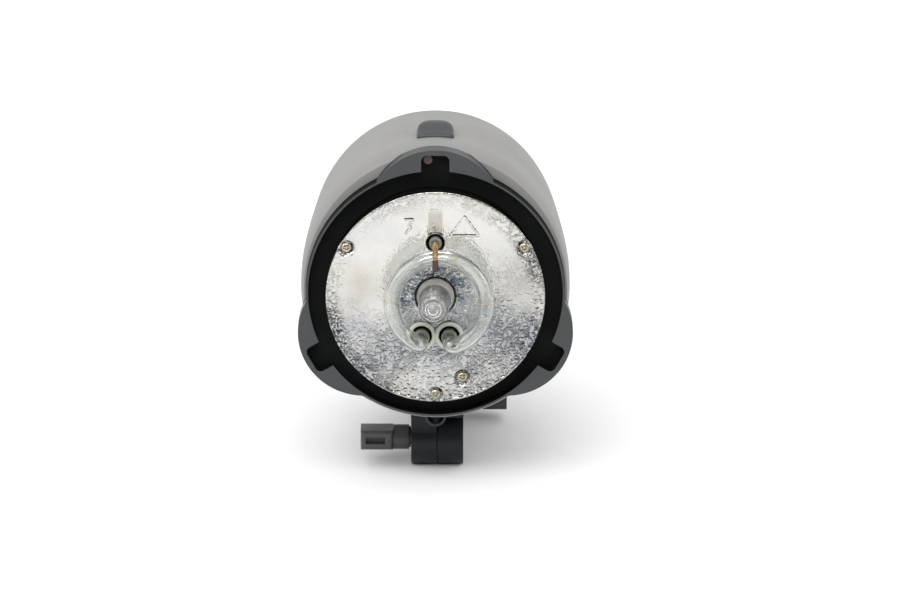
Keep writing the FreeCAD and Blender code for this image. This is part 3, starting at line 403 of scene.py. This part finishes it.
MATERIALS = {
    "case_grey": moulded("case_grey", (0.222, 0.219, 0.213), 0.5, 1500.0, 0.02, 0.03),
    "ring_black": moulded("ring_black", (0.031, 0.034, 0.036), 0.42, 1300.0, 0.02, 0.10),
    "bracket_black": moulded("bracket_black", (0.006, 0.007, 0.009), 0.40, 1100.0, 0.03, 0.12, specular=0.28),
    "knob_dark": moulded("knob_dark", (0.052, 0.053, 0.055), 0.45, 1100.0, 0.03, 0.12),
    "panel_dark": moulded("panel_dark", (0.035, 0.035, 0.037), 0.5, 1200.0, 0.02, 0.06),
    "key_grey": moulded("key_grey", (0.22, 0.22, 0.22), 0.6, 1600.0, 0.01, 0.04),
    "inner_black": moulded("inner_black", (0.003, 0.0035, 0.0035), 0.7, 900.0, 0.02, 0.2, 0.2, 0.1, 0.15),
    "capacitor_blue": moulded("capacitor_blue", (0.02, 0.035, 0.14), 0.35, 500.0, 0.01, 0.08),
    "board_green": moulded("board_green", (0.012, 0.09, 0.035), 0.4, 700.0, 0.02, 0.15),
    "lens_red": moulded("lens_red", (0.3, 0.012, 0.01), 0.12, 300.0, 0.005, 0.05),
    "display_glass": moulded("display_glass", (0.012, 0.002, 0.002), 0.08, 300.0, 0.002, 0.05),
    "pin_red": moulded("pin_red", (0.050, 0.026, 0.023), 0.5, 900.0, 0.03, 0.2),
    "steel_zinc": metal("steel_zinc", (0.58, 0.58, 0.57), 0.34),
    "brass_bright": metal("brass_bright", (0.40, 0.365, 0.28), 0.22),
    "copper_wire": metal("copper_wire", (0.42, 0.27, 0.12), 0.38),
    "hammered_aluminium": hammered_plate(),
    "dark_steel": metal("dark_steel", (0.05, 0.05, 0.052), 0.4),
    "clear_glass": clear_glass("clear_glass"),
    "ceramic_white": ceramic("ceramic_white", (0.50, 0.535, 0.46)),
}


FROST = frosted_glass()
POST = ceramic("post_grey", (0.20, 0.20, 0.18), 0.5)
COLLAR = ceramic("lamp_collar_grey", (0.36, 0.345, 0.325), 0.5)


def dress_nodes():
    """Give every carried-over node the material of its slot."""
    for part in frame["record"]["subparts"]:
        node = NODES[part["node"]]
        node.data.materials.clear()
        finish = "dark_steel" if part["node"] == "umbrella_tube" else part["material_slot"]
        node.data.materials.append(MATERIALS[finish])


# ---- mesh helpers -------------------------------------------------------------------------------

def piece(name, vertices, faces, slot, body, smooth=True, material=None):
    mesh = bpy.data.meshes.new(name)
    mesh.from_pydata([tuple(v) for v in vertices], [], faces)
    mesh.validate()
    work = bmesh.new()
    work.from_mesh(mesh)
    bmesh.ops.recalc_face_normals(work, faces=work.faces)
    work.to_mesh(mesh)
    work.free()
    for face in mesh.polygons:
        face.use_smooth = smooth
    obj = bpy.data.objects.new(name, mesh)
    bpy.context.scene.collection.objects.link(obj)
    mesh.materials.append(material or MATERIALS[slot])
    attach(obj, body)
    return obj


def tube_mesh(path, radii, sides=24, capped=True):
    """Vertices and faces of a round tube that follows a path of points."""
    vertices, faces = [], []
    tangent = (path[1] - path[0]).normalized()
    across = tangent.orthogonal().normalized()
    for i, point in enumerate(path):
        ahead = path[min(i + 1, len(path) - 1)] - path[max(i - 1, 0)]
        tangent = ahead.normalized()
        across = (across - tangent * across.dot(tangent)).normalized()
        up = tangent.cross(across)
        radius = radii[i] if isinstance(radii, list) else radii
        for k in range(sides):
            angle = 2 * math.pi * k / sides
            vertices.append(point + (across * math.cos(angle) + up * math.sin(angle)) * radius)
    for i in range(len(path) - 1):
        for k in range(sides):
            n = (k + 1) % sides
            faces.append((i * sides + k, i * sides + n, (i + 1) * sides + n, (i + 1) * sides + k))
    if capped:
        faces.append(tuple(range(sides - 1, -1, -1)))
        last = (len(path) - 1) * sides
        faces.append(tuple(range(last, last + sides)))
    return vertices, faces


def lathe(profile, origin, direction, sides=48, solid=True):
    """Vertices and faces of a profile of (radius, distance) turned about a line."""
    direction = Vector(direction).normalized()
    across = direction.orthogonal().normalized()
    up = direction.cross(across)
    vertices, faces = [], []
    for radius, along in profile:
        for k in range(sides):
            angle = 2 * math.pi * k / sides
            spoke = across * math.cos(angle) + up * math.sin(angle)
            vertices.append(origin + direction * along * MM + spoke * radius * MM)
    for i in range(len(profile) - 1 if solid else len(profile)):
        j = (i + 1) % len(profile)
        for k in range(sides):
            n = (k + 1) % sides
            faces.append((i * sides + k, i * sides + n, j * sides + n, j * sides + k))
    if solid:
        faces.append(tuple(range(sides - 1, -1, -1)))
        last = (len(profile) - 1) * sides
        faces.append(tuple(range(last, last + sides)))
    return vertices, faces


def joined(*meshes):
    """Several sets of vertices and faces as one."""
    vertices, faces = [], []
    for more_vertices, more_faces in meshes:
        base = len(vertices)
        vertices += more_vertices
        faces += [tuple(index + base for index in face) for face in more_faces]
    return vertices, faces


def hermite(start, start_pull, end, end_pull, count):
    """Points on a smooth bend between two points with given directions."""
    points = []
    for i in range(count):
        u = i / (count - 1)
        points.append(start * (1 + 2 * u) * (1 - u) ** 2 + start_pull * u * (1 - u) ** 2
                      + end * u * u * (3 - 2 * u) + end_pull * u * u * (u - 1))
    return points


# ---- reflector plate ----------------------------------------------------------------------------

def smooth_step(low, high, value):
    u = min(1.0, max(0.0, (value - low) / (high - low)))
    return u * u * (3 - 2 * u)


def ripple(side, rise):
    """Worm-like ridges pressed in the sheet, from 0 in the hollows to 1 on the crests."""
    bend = Vector((side, rise, 0)) * 0.42
    x = side + 1.3 * noise.noise(bend + Vector((0, 0, 11)))
    z = rise + 1.3 * noise.noise(bend + Vector((0, 0, 23)))
    ridge = 1 - abs(noise.noise(Vector((x * 0.55, z * 0.55, 3)))) * 2.4
    fine = noise.noise(Vector((x * 1.15, z * 1.15, 5)))
    return 0.75 * max(0.0, ridge) + 0.25 * fine


def ripple_depth(side, rise):
    """The pattern is pressed deepest at the rim and low down, and shallow at the upper left."""
    radius = math.hypot(side, rise)
    low_side = smooth_step(-25, 45, side * 0.25 - rise)
    depth = 0.08 + 0.14 * low_side + 0.14 * smooth_step(46, 52, radius)
    depth += 0.14 * (1 - smooth_step(15, 21, radius))
    flat = (1 - smooth_step(3.2, 4.4, abs(side))) * smooth_step(30.0, 33.0, rise)
    return depth * (1 - 0.8 * flat * (1 - smooth_step(46.0, 48.5, rise)))


def dimple(side, rise, x, z):
    """Round hollow that a screw head sits in."""
    return -1.15 * (1 - smooth_step(3.1, 4.7, math.hypot(side - x, rise - z)))


def outline(side, rise, corners, closed=True):
    """Low ridge along a run of straight lines."""
    nearest = 9.0
    ends = corners[1:] + (corners[:1] if closed else [])
    for (ax, az), (bx, bz) in zip(corners, ends):
        length = math.hypot(bx - ax, bz - az)
        along = ((side - ax) * (bx - ax) + (rise - az) * (bz - az)) / length ** 2
        along = min(1.0, max(0.0, along))
        nearest = min(nearest, math.hypot(side - ax - along * (bx - ax), rise - az - along * (bz - az)))
    return math.exp(-(nearest / 0.42) ** 2)


TRIANGLE = [(7.6, 32.9), (22.4, 32.9), (15.0, 43.2)]
ZIGZAG = [(-15.6, 41.4), (-11.3, 41.6), (-14.0, 37.9), (-12.4, 37.7), (-15.4, 33.8)]


def plate_height(side, rise):
    """How far the plate stands forward of its flat, in millimetres."""
    radius = math.hypot(side, rise)
    height = DISH * (radius / PLATE_EDGE) ** 2 - DISH * 0.6
    height += 0.35 * math.sin(math.pi * smooth_step(PLATE_EDGE - 1.4, PLATE_EDGE, radius))
    marks = 0.0
    for x, z in screw_spots():
        height += dimple(side, rise, x, z)
    lip = radius - LAMP_HOLE
    height += 0.5 * math.exp(-((lip - 0.9) / 0.8) ** 2)
    lip = math.hypot(side, rise - TRIGGER_RISE) - TRIGGER_HOLE
    height += 0.2 * math.exp(-((lip - 0.6) / 0.6) ** 2)
    channel = (1 - smooth_step(3.2, 4.2, abs(side))) * smooth_step(33.0, 34.0, rise)
    height -= 0.25 * channel * (1 - smooth_step(46.0, 48.0, rise))
    if 31 < rise < 45 and 5.5 < side < 24:
        marks = outline(side, rise, TRIANGLE)
    elif 31 < rise < 45 and -18 < side < -9:
        marks = outline(side, rise, ZIGZAG, False)
    height += 0.28 * marks
    height += ripple_depth(side, rise) * (ripple(side, rise) - 0.5) * (1 - 0.7 * marks)
    height += 0.16 * noise.noise(Vector((side, rise, 7)) * 0.09)
    return height


def make_plate():
    """Pressed plate drawn on rings and spokes, with its holes trimmed round."""
    holes = [(0, 0, LAMP_HOLE), (0, TRIGGER_RISE, TRIGGER_HOLE)]
    holes += [(x, z, LEG_HOLE) for x, z in LEG_HOLES]
    spokes = 760
    radii = [LAMP_HOLE * (0.9 + 0.1 * i) for i in range(2)]
    step = 0.38
    while radii[-1] < PLATE_EDGE - step / 2:
        radii.append(radii[-1] + step)
    radii[-1] = PLATE_EDGE
    spots = [[r * math.cos(2 * math.pi * k / spokes), r * math.sin(2 * math.pi * k / spokes)]
             for r in radii for k in range(spokes)]
    inside = []
    for spot in spots:
        within = False
        for x, z, r in holes:
            reach = math.hypot(spot[0] - x, spot[1] - z)
            if reach < r + 0.3:
                within = True
                if reach > 1e-6:
                    spot[0] = x + (spot[0] - x) * r / reach
                    spot[1] = z + (spot[1] - z) * r / reach
        inside.append(within)
    faces = []
    for i in range(len(radii) - 1):
        for k in range(spokes):
            n = (k + 1) % spokes
            face = (i * spokes + k, i * spokes + n, (i + 1) * spokes + n, (i + 1) * spokes + k)
            if not all(inside[index] for index in face):
                faces.append(face)
    vertices = [at(x, plate_height(x, z), z) for x, z in spots]
    plate = piece("plate_face", vertices, faces, "hammered_aluminium", "head")
    work = bmesh.new()
    work.from_mesh(plate.data)
    bmesh.ops.delete(work, geom=[v for v in work.verts if not v.link_faces], context="VERTS")
    bmesh.ops.recalc_face_normals(work, faces=work.faces)
    work.to_mesh(plate.data)
    work.free()
    thicken = plate.modifiers.new("sheet", "SOLIDIFY")
    thicken.thickness = SHEET * MM
    thicken.offset = -1
    if sum(face.normal.y for face in plate.data.polygons) > 0:
        plate.data.flip_normals()
    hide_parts("reflector_plate")


# ---- ring flash tube, modelling lamp and trigger ------------------------------------------------

TUBE_CIRCLE = 24.2
TUBE_SHIFT = 2.0
TUBE_LIFT = 0.6
TUBE_RADIUS = 4.2
TUBE_BORE = 2.9
TUBE_LEAD = 13.0
LEG_DROP = 21.45
LEG_SPREAD = 7.1
BULB_LEAN = math.radians(2.7)


def ring_point(angle, out=0.0, forward=0.0):
    """A point on the glass ring's centreline, or a little off it."""
    reach = TUBE_CIRCLE + out
    return at(TUBE_SHIFT + reach * math.cos(angle), TUBE_LEAD + forward,
              TUBE_LIFT + reach * math.sin(angle))


def tube_line():
    """Centreline of the whole tube: leg, bend, ring, bend and leg."""
    turns = [math.asin((side * LEG_SPREAD - TUBE_SHIFT) / TUBE_CIRCLE) for side in (1, -1)]
    first, last = -math.pi / 2 + turns[0] + 0.16, 3 * math.pi / 2 + turns[1] - 0.16
    count = 130
    ring = [ring_point(first + (last - first) * i / (count - 1)) for i in range(count)]
    legs = []
    for side, tip, ahead in ((1, ring[0], ring[1] - ring[0]), (-1, ring[-1], ring[-2] - ring[-1])):
        foot = at(side * LEG_SPREAD, 0, -LEG_DROP)
        knee = foot.lerp(at(side * LEG_SPREAD, TUBE_LEAD, -LEG_DROP - 1.2), 0.62)
        legs.append([at(side * LEG_SPREAD, -7.5, -LEG_DROP), foot]
                    + hermite(knee, Vector((0, -9, -1)) * MM, tip, ahead.normalized() * 9 * MM, 14)[:-1])
    return legs[0] + ring + list(reversed(legs[1]))


def make_flash_tube():
    """Thick-walled quartz ring with its bore, the sealed-off tip, end caps and electrodes."""
    line = tube_line()
    sizes = [TUBE_RADIUS * MM] * len(line)
    for i in range(16):
        slim = 3.4 + (TUBE_RADIUS - 3.4) * smooth_step(3, 15, i)
        sizes[i] = sizes[-1 - i] = slim * MM
    outer = tube_mesh(line, sizes, 32)
    bore = [size - (TUBE_RADIUS - TUBE_BORE) * MM for size in sizes]
    inner_vertices, inner_faces = tube_mesh(line, bore, 26)
    inner = (inner_vertices, [tuple(reversed(face)) for face in inner_faces])
    glass = fused_shells("flash_tube_glass", outer, inner, "clear_glass", "head")
    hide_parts("flash_tube")
    tip = ring_point(math.radians(-17), 0.0, TUBE_RADIUS - 0.7)
    profile = [(0.4, -0.4), (2.4, 0.0), (2.3, 0.6), (1.8, 1.1), (1.0, 1.35), (0.3, 1.45)]
    piece("flash_tube_tip", *lathe(profile, tip, (0.12, -1, -0.1), 24), "clear_glass", "head",
          material=FROST)
    caps, electrodes = [], []
    for side in (-1, 1):
        foot = at(side * LEG_SPREAD, 0, -LEG_DROP)
        lead = (at(side * LEG_SPREAD, TUBE_LEAD, -LEG_DROP - 1.2) - foot).normalized()
        caps.append(lathe([(2.6, -6.5), (4.1, -6.5), (4.1, 1.9), (3.9, 2.3), (3.55, 2.5), (3.5, 2.0)],
                          foot, lead, 40))
        electrodes.append(lathe([(0.5, -6.0), (0.5, 4.0), (1.4, 4.3), (1.5, 8.6), (1.1, 9.2),
                                 (0.5, 9.5), (0.2, 9.5)], foot, lead, 20))
    piece("flash_tube_caps", *joined(*caps), "ceramic_white", "head", material=POST)
    piece("flash_tube_electrodes", *joined(*electrodes), "steel_zinc", "head")
    bands = [band(ring_angle) for ring_angle in (0.03, 3.10, 1.22)]
    piece("flash_tube_bands", *joined(*bands), "copper_wire", "head")


def band(angle):
    """One turn of hair-fine wire round the glass."""
    middle = ring_point(angle)
    outward = (middle - at(TUBE_SHIFT, TUBE_LEAD, TUBE_LIFT)).normalized()
    forward = Vector((0, -1, 0))
    loop = [middle + (outward * math.cos(a) + forward * math.sin(a)) * (TUBE_RADIUS + 0.12) * MM
            for a in [2 * math.pi * k / 36 for k in range(37)]]
    return tube_mesh(loop, 0.11 * MM, 6)


def fused_shells(name, outer, inner, slot, body, material=None):
    """A tube wall: the outer skin and the bore as one closed object."""
    vertices, faces = joined(outer, inner)
    mesh = bpy.data.meshes.new(name)
    mesh.from_pydata([tuple(v) for v in vertices], [], faces)
    for face in mesh.polygons:
        face.use_smooth = True
    obj = bpy.data.objects.new(name, mesh)
    bpy.context.scene.collection.objects.link(obj)
    mesh.materials.append(material or MATERIALS[slot])
    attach(obj, body)
    return obj


def make_modelling_lamp():
    """Small clear lamp with a moulded end, leaning a little to one side."""
    lean = Vector((-math.sin(BULB_LEAN), -math.cos(BULB_LEAN), 0))
    base = at(0, 0, 0)
    outer = [(4.5, -18), (7.6, -16), (8.0, -13), (8.0, 18.6), (7.9, 19.6), (7.5, 20.4), (6.9, 20.2),
             (6.6, 21.2), (5.9, 21.9), (5.4, 21.4), (5.0, 22.3), (4.2, 23.0), (3.8, 22.4), (3.3, 23.1),
             (2.6, 23.6), (2.2, 23.0), (1.7, 23.6), (0.9, 24.0), (0.4, 24.05)]
    inner = [(3.6, -16.5), (6.6, -15), (7.1, -12), (7.1, 18.0), (6.4, 19.6), (4.8, 20.9), (2.6, 21.8),
             (0.4, 22.1)]
    shell = lathe(outer, base, lean, 64)
    hollow_vertices, hollow_faces = lathe(inner, base, lean, 48)
    hollow = (hollow_vertices, [tuple(reversed(face)) for face in hollow_faces])
    bulb = fused_shells("modelling_lamp_glass", shell, hollow, "clear_glass", "head",
                        material=FROST)
    bulb.data.set_sharp_from_angle(angle=math.radians(28))
    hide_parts("modelling_lamp")
    sleeve = [(8.1, -9), (9.7, -9), (9.7, -1.2), (9.5, 1.0), (9.0, 3.2), (8.4, 4.6), (8.1, 4.9)]
    piece("lamp_collar", *lathe(sleeve, base, lean, 64, False), "ceramic_white", "head",
          material=COLLAR)
    coil = []
    for i in range(121):
        turn = 2 * math.pi * i / 10
        coil.append(base + lean * (2 + 9 * i / 120) * MM
                    + Vector((math.cos(turn) * 1.1, 0, math.sin(turn) * 1.1)) * MM)
    stems = [tube_mesh([base + lean * -16 * MM + Vector((side * 2.2, 0, 0)) * MM,
                        base + lean * 2 * MM + Vector((side * 1.8, 0, 0)) * MM,
                        base + lean * 11 * MM + Vector((side * 1.2, 0, 0)) * MM], 0.35 * MM, 8)
             for side in (-1, 1)]
    piece("modelling_lamp_filament", *joined(tube_mesh(coil, 0.22 * MM, 8), *stems), "steel_zinc", "head")


def make_trigger():
    """Coiled wire from the ceramic post, over the ring tube and back under it."""
    start = at(0, 1.8, TRIGGER_RISE)
    crest = at(0, TUBE_LEAD, TUBE_LIFT + TUBE_CIRCLE + TUBE_RADIUS + 1.75)
    line = hermite(start, Vector((0, -9, 1)) * MM, crest, Vector((0, -9, 0.6)) * MM, 30)
    wrap = TUBE_RADIUS + 1.75
    middle = at(0, TUBE_LEAD, TUBE_LIFT + TUBE_CIRCLE)
    line += [middle + Vector((0, -math.sin(a), math.cos(a))) * wrap * MM
             for a in [math.radians(5 * k) for k in range(1, 30)]]
    core = tube_mesh(line, 0.75 * MM, 10)
    turns, length = [], 0.0
    side = Vector((1, 0, 0))
    distances = [0.0]
    for i in range(1, len(line)):
        length += (line[i] - line[i - 1]).length
        distances.append(length)
    pitch, steps_per_turn = 1.2 * MM, 14
    total = int(length / pitch * steps_per_turn)
    for i in range(total):
        along = length * i / total
        k = max(j for j in range(len(distances)) if distances[j] <= along)
        k = min(k, len(line) - 2)
        u = (along - distances[k]) / (distances[k + 1] - distances[k])
        point = line[k].lerp(line[k + 1], u)
        tangent = (line[k + 1] - line[k]).normalized()
        up = tangent.cross(side)
        angle = 2 * math.pi * i / steps_per_turn
        turns.append(point + (side * math.cos(angle) + up * math.sin(angle)) * 1.1 * MM)
    wire = piece("trigger_coil_wire", *joined(core, tube_mesh(turns, 0.36 * MM, 8)), "copper_wire", "head")
    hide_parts("trigger_spring")
    post = [(0.5, -14), (3.2, -14), (3.2, 1.1), (3.05, 1.45), (2.7, 1.6), (1.9, 1.6), (1.6, 1.2), (0.5, 1.2)]
    stem = piece("trigger_post_turned", *lathe(post, at(0, 0, TRIGGER_RISE), (0, -1, 0), 40),
                 "ceramic_white", "head", material=POST)
    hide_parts("trigger_post")
    piece("trigger_sleeve", *tube_mesh(line[-13:], 1.5 * MM, 20), "pin_red", "head")


def make_tube_collar():
    """Two joined ceramic rings round the tube's legs, with a near-black sleeve and floor inside each bore as
    painted shade.
    """
    outer, bore = 7.4, 5.35
    profile = [(bore, -7.0), (outer - 0.6, -7.0), (outer - 0.6, -0.2), (outer, 0.0), (outer, 0.7),
               (outer - 0.35, 1.15), (outer - 0.9, 1.3), (bore + 0.5, 1.3), (bore + 0.1, 1.15), (bore, 0.8)]
    # Near-black sleeve and floor in each bore: painted shade where the ceramic bore lies in shadow.
    bore_shade_profile = [(bore - 0.15, -7.0), (bore + 0.1, -7.0), (bore + 0.1, 0.55), (bore - 0.15, 0.55)]
    rings, bore_shade_sleeves = [], []
    for side in (-1, 1):
        middle = at(side * LEG_SPREAD, 0, LEG_HOLES[0][1])
        rings.append(lathe(profile, middle, (0, -1, 0), 64, False))
        bore_shade_sleeves.append(lathe(bore_shade_profile, middle, (0, -1, 0), 48, False))
        bore_shade_sleeves.append(lathe([(0.2, -6.9), (bore, -6.9), (bore, -6.7), (0.2, -6.7)], middle, (0, -1, 0), 48))
    collar = piece("tube_collar_rings", *joined(*rings), "ceramic_white", "head")
    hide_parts("tube_collar")
    piece("tube_collar_bore_shade", *joined(*bore_shade_sleeves), "inner_black", "head")


# ---- release button ---------------------------------------------------------------------------------

def make_release_button():
    """Thumb button: straight front edge, round back, a low front that swells to a dome."""
    low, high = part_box("release_button")
    half = (high.x - low.x) / 2
    middle = (high.x + low.x) / 2
    front, length = low.y, high.y - low.y
    seat = high.z - 5.0 * MM
    rows, columns = 26, 33
    vertices, faces = [], []
    for i in range(rows):
        along = i / (rows - 1)
        back = max(0.0, (along - 0.42) / 0.58)
        width = half * math.sqrt(max(0.0, 1 - back ** 2.2))
        if i == 0:
            width = half * 0.965
        crown = (1.5 + 3.4 * smooth_step(0.0, 0.62, along)) * (1 - smooth_step(0.70, 1.0, along) ** 1.5)
        for k in range(columns):
            across = 2 * k / (columns - 1) - 1
            edge = (1 - abs(across) ** 3.2) ** 0.5 if abs(across) < 1 else 0.0
            nose = smooth_step(0.0, 0.07, along) * 0.4 + 0.6
            rise = max(0.0, crown * nose * (0.32 + 0.68 * edge)) if 0 < i < rows - 1 else 0.9
            if k in (0, columns - 1) or i == rows - 1:
                rise = min(rise, 0.6)
            vertices.append(Vector((middle + width * across, front + length * along, seat + rise * MM)))
    top = len(vertices)
    for vertex in list(vertices):
        vertices.append(Vector((vertex.x, vertex.y, seat - 2.2 * MM)))
    for i in range(rows - 1):
        for k in range(columns - 1):
            face = (i * columns + k, i * columns + k + 1, (i + 1) * columns + k + 1, (i + 1) * columns + k)
            faces.append(face)
            faces.append(tuple(index + top for index in reversed(face)))
    loop = list(range(columns))
    loop += [i * columns + columns - 1 for i in range(1, rows)]
    loop += [(rows - 1) * columns + k for k in range(columns - 2, -1, -1)]
    loop += [i * columns for i in range(rows - 2, 0, -1)]
    for i, index in enumerate(loop):
        after = loop[(i + 1) % len(loop)]
        faces.append((index, after, after + top, index + top))
    button = piece("release_button_cap", vertices, faces, "ring_black", "release")
    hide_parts("release_button")
    stem_low, stem_high = Vector((middle - 4 * MM, front + 3.5 * MM, low.z)), seat - 1.5 * MM
    stem = [Vector((x, y, z)) for z in (stem_low.z, stem_high) for x, y in
            ((stem_low.x, stem_low.y), (stem_low.x + 8 * MM, stem_low.y),
             (stem_low.x + 8 * MM, stem_low.y + 8 * MM), (stem_low.x, stem_low.y + 8 * MM))]
    sides = [(0, 1, 2, 3), (4, 5, 6, 7)] + [(k, (k + 1) % 4, 4 + (k + 1) % 4, 4 + k) for k in range(4)]
    piece("release_button_stem", stem, sides, "ring_black", "release", smooth=False)


# ---- fastenings -----------------------------------------------------------------------------------

def make_plate_screws():
    """Pan-head screws with a cross recess, sunk in the plate's dimples."""
    work = []
    spots = [(x, z, turn) for (x, z), turn in zip(screw_spots(), (0.35, 0.9, 0.1, 0.6))]
    for x, z, turn in spots:
        work.append(cross_screw(at(x, -0.85, z), (0, -1, 0), 2.65, 1.5, turn))
    screws = piece("plate_screw_heads", *joined(*work), "brass_bright", "head")
    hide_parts("plate_screws")


def cross_screw(origin, direction, radius, tall, turn):
    """Domed head whose middle dips in a cross."""
    direction = Vector(direction).normalized()
    across = direction.orthogonal().normalized()
    up = direction.cross(across)
    rings = [0.0] + [radius * f for f in (0.12, 0.2, 0.28, 0.36, 0.44, 0.52, 0.6, 0.7, 0.8, 0.9, 0.97, 1.0)]
    sides = 48
    vertices, faces = [], []
    for ring in rings:
        for k in range(sides):
            angle = 2 * math.pi * k / sides
            u, v = ring * math.cos(angle), ring * math.sin(angle)
            dome = tall * math.sqrt(max(0.0, 1 - (ring / radius) ** 2 * 0.92))
            a = u * math.cos(turn) + v * math.sin(turn)
            b = v * math.cos(turn) - u * math.sin(turn)
            slot = max(0.0, 1 - max(0.0, min(abs(a), abs(b)) - radius * 0.14) / (radius * 0.07))
            slot = min(1.0, slot) * (1 - smooth_step(0.52, 0.62, ring / radius))
            rise = dome - slot * tall * 0.85
            vertices.append(origin + (across * u + up * v) * MM + direction * rise * MM)
    for i in range(len(rings) - 1):
        for k in range(sides):
            n = (k + 1) % sides
            faces.append((i * sides + k, i * sides + n, (i + 1) * sides + n, (i + 1) * sides + k))
    edge = (len(rings) - 1) * sides
    foot = len(vertices)
    for k in range(sides):
        angle = 2 * math.pi * k / sides
        vertices.append(origin + (across * math.cos(angle) + up * math.sin(angle)) * radius * MM
                        - direction * 0.6 * MM)
    for k in range(sides):
        n = (k + 1) % sides
        faces.append((edge + k, edge + n, foot + n, foot + k))
    faces.append(tuple(range(foot, foot + sides)))
    return vertices, faces


# ---- CAD parts with softened edges ----------------------------------------------------------------

WELD = 0.01 * MM
SHARP = math.radians(32)
FLAT = math.radians(1.0)
SHELL_EDGE = 0.45
SOFTENED = {"bayonet_ring": 0.35, "head_yoke": 0.8, "stand_arm": 0.9, "tilt_knob": 1.7,
            "rear_panel": 0.3, "stand_clamp_knob": 1.6, "umbrella_screw": 0.6}
RECESS_STEP = 0.4
RECESS_REACH = 73.8
COLLAR_WALL = 66.6


def refined(node, width, flatten=True):
    """A copy of a CAD part with its sharp edges rounded over."""
    source = NODES[node]
    body = bodies_of_nodes()[node]
    mesh = source.data.copy()
    mesh.name = node + "_soft"
    work = bmesh.new()
    work.from_mesh(mesh)
    bmesh.ops.remove_doubles(work, verts=work.verts, dist=WELD)
    if flatten:
        bmesh.ops.dissolve_limit(work, angle_limit=FLAT, verts=work.verts, edges=work.edges)
    work.to_mesh(mesh)
    work.free()
    if "custom_normal" in mesh.attributes:
        mesh.attributes.remove(mesh.attributes["custom_normal"])
    for face in mesh.polygons:
        face.use_smooth = True
    obj = bpy.data.objects.new(node + "_soft", mesh)
    bpy.context.scene.collection.objects.link(obj)
    bevel = obj.modifiers.new("edges", "BEVEL")
    bevel.width = width * MM
    bevel.segments = 3
    bevel.limit_method = "ANGLE"
    bevel.angle_limit = SHARP
    bevel.harden_normals = True
    bevel.use_clamp_overlap = True
    record = {part["node"]: part["material_slot"] for part in frame["record"]["subparts"]}
    mesh.materials.clear()
    mesh.materials.append(MATERIALS[record[node]])
    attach(obj, body)
    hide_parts(node)
    return obj


def bodies_of_nodes():
    """Which body each CAD part belongs to."""
    found = {part["node"]: "head" for part in frame["record"]["subparts"]}
    for body, nodes in frame["record"]["behaviour"]["bodies"].items():
        for node in nodes:
            found[node] = body
    return found


def paint_recess_shade(ring):
    """Painted shade in the ring's recesses: the lobes' faces keep their satin grey, and every face set back
    inside them gets the near-black material as painted shade.
    """
    # The near-black material here is painted shade for the recess faces.
    ring.data.materials.append(MATERIALS["inner_black"])
    for face in ring.data.polygons:
        spot = face.center
        radius = math.hypot(spot.x - AXIS.x, spot.z - AXIS.z)
        if spot.y > LOBE_FACE + RECESS_STEP * MM and radius < RECESS_REACH * MM and face.normal.y < 0.5:
            facing_out = (face.normal.x * (spot.x - AXIS.x) + face.normal.z * (spot.z - AXIS.z)) > 0
            if radius < COLLAR_WALL * MM or not facing_out:
                face.material_index = 1


add_camera()
add_stage()
dress_nodes()
make_plate()
make_flash_tube()
make_modelling_lamp()
make_trigger()
make_plate_screws()
make_tube_collar()
make_release_button()
for name in ("front_shell", "rear_shell"):
    refined(name, SHELL_EDGE, flatten=False)
for name, width in SOFTENED.items():
    soft = refined(name, width)
    if name == "bayonet_ring":
        paint_recess_shade(soft)
